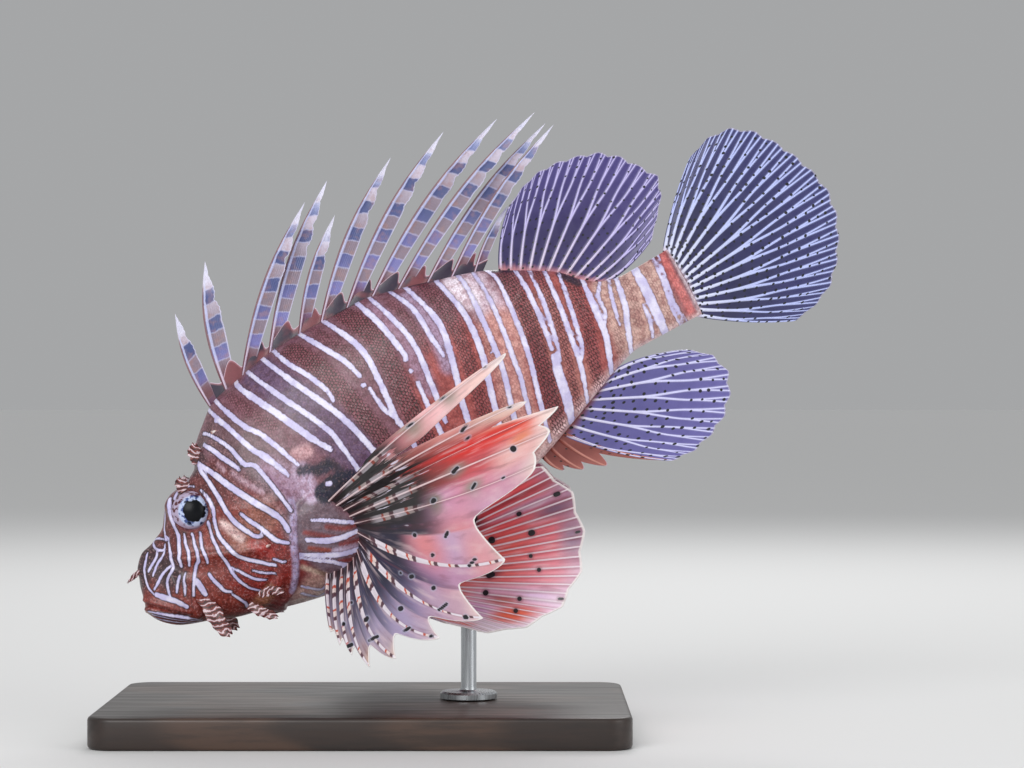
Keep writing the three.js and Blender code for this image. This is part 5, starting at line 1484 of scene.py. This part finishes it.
def spot_distance(middle, spots):
    """Distance outside the nearest spot: each is a place, a radius, a stretch and an angle"""
    least = np.full(len(middle), 5.0)
    for place_s, place_h, radius, stretch, angle in spots:
        c, n = math.cos(math.radians(angle)), math.sin(math.radians(angle))
        off_s, off_h = middle[:, 0] - place_s, middle[:, 2] - place_h
        along, beside = off_s * c + off_h * n, off_h * c - off_s * n
        along = np.maximum(np.abs(along) - radius * (stretch - 1), 0)
        least = np.minimum(least, np.hypot(along, beside) - radius)
    return least


def painted_fin_finish(name, ray, lines, streak_and_fold_shade, ring, ring_reach):
    """The finish of a fin painted ray by ray: pale rays, painted fold shade, banded rays and spots
    """
    material, tree, shader = finish_of(name, Coat_Weight=0.25, Coat_Roughness=0.16)
    coat = stored(tree, "coat", "Color")
    spot = stored(tree, "spot")
    banded = stored(tree, "banded")
    streaky = stored(tree, "streaky")
    out_value = stored(tree, "out")
    margin_value = stored(tree, "margin")
    map_u, map_v = surface_map(tree)
    pattern = shared(tree, ray_lines, {"Root Half": lines[0], "Tip Half": lines[1]})
    away = pattern.outputs["Away"]
    cloud = noise(tree, own_place(tree), 130.0, 4.0)
    # Soft streaks along the rays, over the whole fin
    across = times(tree, map_u, 5.0)
    soft_run = times(tree, out_value, 0.05)
    soft_place = add_node(tree, "CombineXYZ", {"X": across, "Y": soft_run}).outputs["Vector"]
    soft = noise(tree, soft_place, 1.0, 3.0)
    streaked = wash(tree, coat, ray, soft, 0.5, 0.72, 0.0, 0.35)
    streaked = wash(tree, streaked, streak_and_fold_shade, soft, 0.46, 0.3, 0.0, 0.35)
    # Long white and black streaks near the foot of the fin
    sharp_across = times(tree, map_u, 4.6)
    sharp_run = times(tree, out_value, 0.075)
    sharp_place = add_node(tree, "CombineXYZ", {"X": sharp_across, "Y": sharp_run, "Z": 3.0})
    sharp = noise(tree, sharp_place.outputs["Vector"], 1.0, 2.0)
    dark_streak = times(tree, ramp(tree, sharp, 0.61, 0.55), streaky)
    white_streak = times(tree, ramp(tree, sharp, 0.64, 0.68), streaky)
    streaked = blend(tree, dark_streak, streaked, "#1a1417")
    streaked = blend(tree, white_streak, streaked, "#d8d2e4")
    # Painted shade in the folds beside each ray, and fine pale lines on the rays
    with_fold_shade = wash(tree, streaked, streak_and_fold_shade, away, 1.5, 0.4, 0.0, 0.3)
    rayed = blend(tree, times(tree, pattern.outputs["Ray"], 0.85), with_fold_shade, ray)
    # Blocks of colour along the banded rays, out of step from ray to ray
    number = calculate(tree, "FLOOR", plus(tree, map_u, 0.5))
    chance = add_node(tree, "TexWhiteNoise", {"W": number}, noise_dimensions="1D").outputs["Value"]
    run = plus(tree, out_value, times(tree, cloud, 5.0))
    run = plus(tree, calculate(tree, "DIVIDE", run, BAND_BLOCK), times(tree, chance, 7.0))
    block = calculate(tree, "FRACT", run)
    blocks = wash(tree, "#e9dfe8", "#c95a44", block, 0.44, 0.48)
    blocks = wash(tree, blocks, "#ecd9d6", block, 0.54, 0.57)
    blocks = wash(tree, blocks, "#5b3a44", block, 0.74, 0.79)
    blocks = wash(tree, blocks, "#e9dfe8", block, 0.93, 0.98)
    spacing = stored(tree, "spacing")
    widest = times(tree, spacing, 0.24)
    band_half = calculate(tree, "MINIMUM", ramp(tree, map_v, 0.1, 0.75, 1.7, 0.5), widest)
    on_band = ramp(tree, minus(tree, away, band_half), -0.15, 0.25, 1.0, 0.0)
    blocked = blend(tree, times(tree, on_band, banded), rayed, blocks)
    hemmed = wash(tree, blocked, "#f6f0ee", margin_value, 1.3, 0.5, 0.0, 0.9)
    ringed = wash(tree, hemmed, ring, spot, ring_reach, 0.1, 0.0, 0.4)
    spotted = wash(tree, ringed, SPOT_COLOUR, spot, 0.12, -0.12)
    wet_coat(tree, shader, spotted, 0.12)
    relief(tree, shader, soft, 0.25, 0.0004)
    return material


# Black spots and dashes in side view: s, h, half breadth, length to breadth, angle in degrees
PECTORAL_SPOTS = [
    (121.2, 5.7, 0.55, 3.4, 2), (136.6, 8.8, 0.6, 3, 6), (155.7, 11.4, 0.5, 2.2, -3),
    (138.9, -4.6, 0.7, 3.2, 21), (156.9, -5.8, 0.4, 2.6, -13), (138, -8.6, 0.5, 3, 12),
    (151, -19.9, 1.15, 1, 0), (128.5, -16.9, 0.7, 2.4, 17), (131.8, -25.1, 0.5, 3, 32),
    (142.9, -27.4, 0.4, 2, 2), (115.8, -23.2, 0.95, 1.2, 32), (114.4, -36.2, 0.65, 2.3, 32),
    (103.4, -31.2, 0.8, 1, 0), (106.2, -40.5, 0.7, 1.3, 17), (118.5, -49, 0.65, 3.6, 22),
    (92, -41.2, 0.55, 1, 0), (95.2, -44.1, 0.75, 1.4, -8), (100.9, -51.2, 0.75, 1.3, 2),
    (100.9, -58.7, 0.6, 4.1, 13), (106.9, -65.5, 1.05, 1, 0), (86.2, -52.5, 0.85, 1.3, -8),
    (85.1, -59.9, 0.5, 3.8, 1), (92.4, -65.7, 0.5, 1.6, 7), (72.8, -50.3, 0.7, 1.7, 32),
    (72.4, -57.3, 0.55, 4.2, -1), (63, -55.7, 0.65, 2.2, 0), (64, -48.1, 0.6, 1.3, 32),
    (70, -42.6, 0.5, 1, 0),
]
# Its fourth colour darkens the soft streaks and is the painted shade in the folds beside the rays
pectoral_finish = painted_fin_finish(
    "pectoral_blade", "#f2d6d8", (0.34, 0.2), "#743840", "#b4bcd2", 0.75
)
for label, facing in (("left", -1), ("right", 1)):
    rays = pectoral_rays(facing)
    fin, across, t, middle = fin_mesh("pectoral_" + label, rays, 150, 1.15)
    add_attribute(fin, "coat", coat_colours(PECTORAL_COATS, PECTORAL_PATCHES, across, t))
    add_attribute(fin, "spot", spot_distance(middle, PECTORAL_SPOTS))
    lower = smooth_step(across, BANDED_FROM - 0.6, BANDED_FROM - 0.4)
    upper = 0.4 * smooth_step(-t, -0.42, -0.25)
    add_attribute(fin, "banded", np.maximum(lower, upper) * smooth_step(t, 0.08, 0.13))
    upper_foot = smooth_step(-t, -0.5, -0.32) * smooth_step(-across, -4.7, -3.9)
    add_attribute(fin, "streaky", np.maximum(upper_foot, 0.8 * smooth_step(-t, -0.16, -0.06)))
    add_piece(fin, "pectoral_blade", pectoral_finish, "pectoral_fin_" + label)

# Pelvic fins
# A round fan on each side of the belly: red at its middle, with fine pale rays that branch
# twice, black spots and a white margin.
PELVIC_FOOT = [(72, -36.6), (80, -37.6)]
PELVIC_MARGIN = [
    (98, -66), (113, -78.9), (128.7, -82), (143, -79.8), (156, -67.6), (162.6, -49), (158, -32.6),
    (143, -25.6),
]
PELVIC_RAYS = 9
PELVIC_SPREAD = (40, -13)
PELVIC_FOOT_OUT = (8, 1.5)
PELVIC_BOW = 5.0
PELVIC_HELD = 0.985
# The fan's own colours along each ray, partly painted light: they are made lighter than the fin's
# own to make up for the shadow the pectoral fin casts over the fan
PELVIC_COATS_WITH_PAINTED_LIGHT = [
    ("#9a4c50", "#c36267", "#f38ca5", "#fac6fa", "#fae7fa", "#faf1fa"),
    ("#9a4c50", "#c36267", "#fa91a9", "#faccfa", "#faeafa", "#faeefa"),
    ("#9a464a", "#c8565a", "#fa8e99", "#fac6fa", "#fae7fa", "#fae7fa"),
    ("#984244", "#c85050", "#fa8981", "#fac4e4", "#fad8fa", "#f4d4eb"),
    ("#923c3e", "#dc4242", "#fa6a60", "#fa7472", "#f58b9b", "#d8a4bc"),
    ("#8a363a", "#d0393e", "#f75956", "#fa6a62", "#f57683", "#c491a7"),
    ("#803034", "#c13237", "#e7444b", "#fa5b5e", "#e27382", "#ab7e96"),
    ("#762c34", "#b22e39", "#d83a41", "#f6464b", "#e74e54", "#b07086"),
    ("#642832", "#9e2a37", "#c43a43", "#e55760", "#c96371", "#9c4e5e"),
]
PELVIC_PATCHES = [
    ("#c8645c", 2.9, 0.72, 0.3, 0.09), ("#c8605a", 2.3, 0.84, 0.4, 0.07),
    ("#c28fb0", 6.1, 0.8, 0.16, 0.2), ("#86607c", 5.75, 0.9, 0.2, 0.08),
    ("#dc4232", 0.6, 0.82, 0.5, 0.05), ("#54222c", 4.1, 0.58, 0.3, 0.05),
    ("#44202e", 6.4, 0.55, 0.4, 0.05), ("#bc8cb0", 6.9, 0.56, 0.3, 0.05),
    ("#86222e", 7.4, 0.88, 0.25, 0.12), ("#a82c36", 6.55, 0.8, 0.12, 0.2),
    ("#a07c98", 4.9, 0.95, 0.5, 0.06), ("#b87aa0", 1.4, 0.55, 0.8, 0.14),
    ("#f46a4a", 2.4, 0.86, 0.5, 0.1), ("#ff7a58", 0.6, 0.8, 0.6, 0.07),
]
PELVIC_SPOTS = [
    (136.3, -32.9, 1.3, 1, 0), (156.8, -43.4, 0.9, 1.6, -8), (140.7, -43.3, 0.9, 1.2, -8),
    (141.5, -51.8, 1.15, 1.2, -8), (157, -59.6, 0.5, 2.2, -13), (126.9, -47.2, 1.35, 1, 0),
    (137.1, -59.3, 0.8, 1, 0), (137.4, -65.3, 0.85, 1, 0), (115.5, -63.6, 1.1, 1, 0),
    (125.8, -71.4, 0.9, 1, 0), (139.5, -78.5, 0.5, 2.4, -28), (122.4, -74.6, 0.9, 1, 0),
    (120.3, -58.6, 1.1, 1.6, -8), (124, -37.5, 1.2, 2, 32), (108.9, -54.4, 1.1, 1.4, 32),
]
# Its fourth colour darkens the soft streaks and is the painted shade in the folds beside the rays
pelvic_finish = painted_fin_finish(
    "pelvic_web", "#f8e8f2", (0.32, 0.29), "#842c3a", "#7c4450", 1.1
)
for label, facing in (("left", -1), ("right", 1)):
    u = np.linspace(0, 1, PELVIC_RAYS)
    foot = curve_through(PELVIC_FOOT, PELVIC_RAYS)
    end = curve_through(PELVIC_MARGIN, PELVIC_RAYS)
    foot_out = facing * (PELVIC_FOOT_OUT[0] + PELVIC_FOOT_OUT[1] * u)
    root = np.column_stack([foot[:, 0], bend(foot[:, 0]) + foot_out, foot[:, 1]])
    tip_out = facing * (PELVIC_SPREAD[0] + PELVIC_SPREAD[1] * u)
    tip = np.column_stack([end[:, 0], tip_out, end[:, 1]])
    bulge = np.full(PELVIC_RAYS, facing * PELVIC_BOW)
    bow = np.column_stack([0 * u, bulge, PELVIC_BOW * (u - 0.5)])
    rays = {
        "root": root,
        "middle": (root + tip) / 2 + bow,
        "tip": tip,
        "before": np.full(PELVIC_RAYS, PELVIC_HELD),
        "after": np.full(PELVIC_RAYS, PELVIC_HELD),
        "fork": np.where(u > 0, -0.1, NO_FORK),
        **plain_edges(PELVIC_RAYS),
    }
    fin, across, t, middle = fin_mesh("pelvic_" + label, rays, 180)
    add_attribute(fin, "coat", coat_colours(PELVIC_COATS_WITH_PAINTED_LIGHT, PELVIC_PATCHES, across, t))
    add_attribute(fin, "spot", spot_distance(middle, PELVIC_SPOTS))
    add_attribute(fin, "banded", np.zeros(len(t)))
    add_attribute(fin, "streaky", np.zeros(len(t)))
    add_piece(fin, "red_fin_web", pelvic_finish, "pelvic_fin_" + label)

# Flaps and small spines of the head
# Ragged leaves of skin hang from the jaw, the cheek, the gill cover, the brow, the nape and
# the nostril. Short spines point back from the ridges of the cheek and the nape.
# Of jaw, cheek, gill cover, brow, nape and nostril: the line in side view, the half breadths
# at foot, middle and end, how far out it stands and how much farther out its end leans
FLAPS = [
    ([(18.7, -13.4), (20.4, -20.2), (20.9, -27), (22.5, -32)], (1.6, 3.2, 2.2), 12.6, 1.4),
    ([(33.7, -25.4), (36.4, -29.4), (41, -34.6)], (1.6, 1.9, 1.2), 14.2, 1.2),
    ([(39.3, -24), (44, -24.4), (48.2, -27.4)], (1.3, 1.8, 1.0), 18.8, 1.0),
    ([(32.6, 24.6), (32.2, 27.4), (32.8, 30)], (2.6, 2.4, 1.2), 8.4, 0),
    ([(42.2, 31.4), (42.2, 35), (43.4, 39)], (2.4, 2.6, 1.5), 9, 0),
    ([(3.4, 5.3), (0.6, 5.2), (-3.2, 3.8)], (1.0, 0.8, 0.4), 4.6, 0),
]
FLAP_COLUMNS = 26
FLAP_ROWS = 40
FLAP_STRIPE = 2.4
FLAP_HALF = 0.42
# Small spines: s, h, length
CHEEK_SPINES = [(50, -9, 5.5), (53, -19, 4.6), (46, -26, 4), (43, 33, 4.5), (52, 39, 4.5)]
THORN_SIDES = 14
THORN_RADII = (0.8, 0.08)
THORN_SHARE = 0.75
THORN_SPLAY = 0.35
THORN_OUT = 0.6
THORN_BACK = 0.3

flap_finish, tree, shader = finish_of("flap_skin", Coat_Weight=0.22, Coat_Roughness=0.18)
map_u, map_v = surface_map(tree)
waver = noise(tree, own_place(tree), 420.0, 3.0)
run = plus(tree, map_v, times(tree, waver, 4.0))
run = plus(tree, run, times(tree, map_u, 3.0))
wave = calculate(tree, "SINE", times(tree, run, 2 * math.pi / FLAP_STRIPE))
striped = wash(tree, "#7a3630", "#d8c0c8", wave, 0.5, 0.8)
striped = wash(tree, striped, "#341619", wave, -0.5, -0.75, 0.0, 0.9)
wet_coat(tree, shader, striped)
relief(tree, shader, waver, 0.5, 0.0004)

leaves = bmesh.new()
leaf_marks = []
for facing in (-1, 1):
    for number, (line, halves, stand, lean) in enumerate(FLAPS):
        leaf = mesh_of("leaf", slab(FLAP_COLUMNS, FLAP_ROWS))
        x, y, z = coordinates(leaf).T
        line = curve_through(line, FLAP_ROWS + 1)
        along_line = np.gradient(line, axis=0)
        along_line /= np.linalg.norm(along_line, axis=1)[:, None]
        k = np.clip(np.rint(y * FLAP_ROWS).astype(int), 0, FLAP_ROWS)
        half = smooth_through(list(zip((0, 0.5, 1), halves)))(y)
        fringe = 1 + 0.16 * np.sin(9 * y + number) * np.sin(23 * y + 2 * number)
        half = half * fringe * np.sqrt(np.clip(1 - smooth_step(y, 0.82, 1.02) * 0.8, 0, 1))
        across = (2 * x - 1) * half
        tip_fringe = 0.45 * np.sin(x * 9 + number) * smooth_step(y, 0.7, 1)
        place_s = line[k, 0] + along_line[k, 1] * across + along_line[k, 0] * tip_fringe
        place_h = line[k, 1] - along_line[k, 0] * across + along_line[k, 1] * tip_fringe
        ruffle = 0.7 * np.sin(12 * y + 3 * x + number) * y * np.abs(2 * x - 1)
        thick = FLAP_HALF * (1 - 0.6 * np.abs(2 * x - 1) ** 3) * (1 - 0.4 * y)
        away = stand + lean * y * 2 + ruffle + (2 * z - 1) * thick
        place = np.column_stack([place_s, bend(place_s) + facing * away, place_h])
        set_coordinates(leaf, place)
        leaf_marks.append(np.column_stack([x, y * np.linalg.norm(np.ptp(line, axis=0))]))
        if facing > 0:
            leaf.flip_normals()
        leaves.from_mesh(leaf)
        bpy.data.meshes.remove(leaf)
flaps = mesh_of("head_flaps", leaves)
add_map(flaps, *np.vstack(leaf_marks).T)
add_piece(flaps, "body_skin", flap_finish, "head")

thorns = bmesh.new()
for facing in (-1, 1):
    for place_s, place_h, length in CHEEK_SPINES:
        thorn = bmesh.ops.create_cone(
            thorns, cap_ends=True, segments=THORN_SIDES, radius1=THORN_RADII[0],
            radius2=THORN_RADII[1], depth=THORN_SHARE * length,
        )["verts"]
        bmesh.ops.rotate(thorns, verts=thorn, matrix=Matrix.Rotation(math.pi / 2, 3, "Y"))
        splay = Matrix.Rotation(facing * THORN_SPLAY, 3, "Z")
        bmesh.ops.rotate(thorns, verts=thorn, matrix=splay)
        out = facing * (flank(np.float64(place_s), place_h) + THORN_OUT) + bend(np.float64(place_s))
        bmesh.ops.translate(thorns, verts=thorn, vec=(place_s + THORN_BACK * length, out, place_h))
spikes = mesh_of("head_spines", thorns)
thorn_finish, tree, shader = finish_of("thorn_bone", Coat_Weight=0.3)
cloud = noise(tree, own_place(tree), 600.0, 2.0)
bone = wash(tree, "#b98a80", "#efe2e0", cloud, 0.4, 0.6)
tree.links.new(bone, shader.inputs["Base Color"])
tree.links.new(ramp(tree, cloud, 0.3, 0.7, 0.3, 0.5), shader.inputs["Roughness"])
add_piece(spikes, "body_skin", thorn_finish, "head")

# Stand
# A dark oiled wooden block with rounded corners, and one turned rod of brushed steel that rises
# from its round foot plate to a small cup under the belly.
BASE_CORNER = 0.010
BASE_EDGE = 0.0015
LEVEL_WITHIN = 0.0001
ROD_PLACE = 0.039
ROD_SIDES = 64
IN_WORLD = Matrix.Identity(4)
ROD_PROFILE = [
    (0, 12.3), (10, 12.3), (11, 12.6), (11, 14.4), (10.2, 15.2), (4, 15.3), (3.2, 15.8), (3, 17),
    (3, 101), (3.3, 103.4), (5.2, 109), (5.5, 110.5), (5.5, 113), (0, 113),
]
block = bmesh.new()
low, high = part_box("stand_base")
bmesh.ops.create_cube(block, size=1)
bmesh.ops.scale(block, verts=block.verts, vec=np.subtract(high, low))
bmesh.ops.translate(block, verts=block.verts, vec=np.add(high, low) / 2)


def is_level(edge):
    return abs(edge.verts[0].co.z - edge.verts[1].co.z) < LEVEL_WITHIN


def round_off(edges, offset, segments):
    bmesh.ops.bevel(
        block, geom=edges, offset=offset, segments=segments, affect="EDGES", profile=0.5,
        material=-1,
    )


round_off([edge for edge in block.edges if not is_level(edge)], BASE_CORNER, 10)
sharp_edges = [edge for edge in block.edges if is_level(edge) and edge.calc_face_angle(0) > 1]
round_off(sharp_edges, BASE_EDGE, 4)
base = mesh_of("wooden_base", block)
base.set_sharp_from_angle(angle=math.radians(40))
wood, tree, shader = finish_of("stand_wood", Coat_Weight=0.15, Coat_Roughness=0.3)
inputs = {"Vector": own_place(tree), "Scale": (6, 55, 55)}
stretched = add_node(tree, "Mapping", inputs).outputs["Vector"]
fibre = noise(tree, stretched, 4.0, 6.0, 0.65)
inputs = {"Vector": stretched, "Scale": 0.5, "Distortion": 6.0, "Detail": 3.0}
rings = add_node(tree, "TexWave", inputs).outputs["Fac"]
tone = wash(tree, "#2e211b", "#49352a", rings, 0.2, 0.8)
tone = wash(tree, tone, "#1d1512", fibre, 0.42, 0.64, 0.0, 0.6)
tree.links.new(tone, shader.inputs["Base Color"])
tree.links.new(ramp(tree, fibre, 0.3, 0.7, 0.36, 0.52), shader.inputs["Roughness"])
relief(tree, shader, fibre, 0.25, 0.0003)
add_piece(base, "stand_wood", wood, "stand_base", place=IN_WORLD)

turned = bmesh.new()
corners = [turned.verts.new((r * MILLIMETRE, 0, z * MILLIMETRE)) for r, z in ROD_PROFILE]
profile = [turned.edges.new(pair) for pair in zip(corners[:-1], corners[1:])]
bmesh.ops.spin(
    turned, geom=corners + profile, axis=(0, 0, 1), cent=(0, 0, 0), angle=2 * math.pi,
    steps=ROD_SIDES, use_merge=True,
)
bmesh.ops.remove_doubles(turned, verts=turned.verts, dist=1e-6)
bmesh.ops.recalc_face_normals(turned, faces=turned.faces)
bmesh.ops.translate(turned, verts=turned.verts, vec=(ROD_PLACE, 0, 0))
rod = mesh_of("steel_rod", turned)
rod.set_sharp_from_angle(angle=math.radians(35))
steel, tree, shader = finish_of("stand_steel", Metallic=1.0)
inputs = {"Vector": own_place(tree), "Scale": (2400, 2400, 40)}
brushed = add_node(tree, "Mapping", inputs).outputs["Vector"]
lines = noise(tree, brushed, 1.0, 3.0)
grey = wash(tree, "#b4b8bc", "#c2c6c9", lines, 0.3, 0.7)
tree.links.new(grey, shader.inputs["Base Color"])
tree.links.new(ramp(tree, lines, 0.3, 0.7, 0.24, 0.38), shader.inputs["Roughness"])
add_piece(rod, "stand_steel", steel, "stand_rod", place=IN_WORLD)
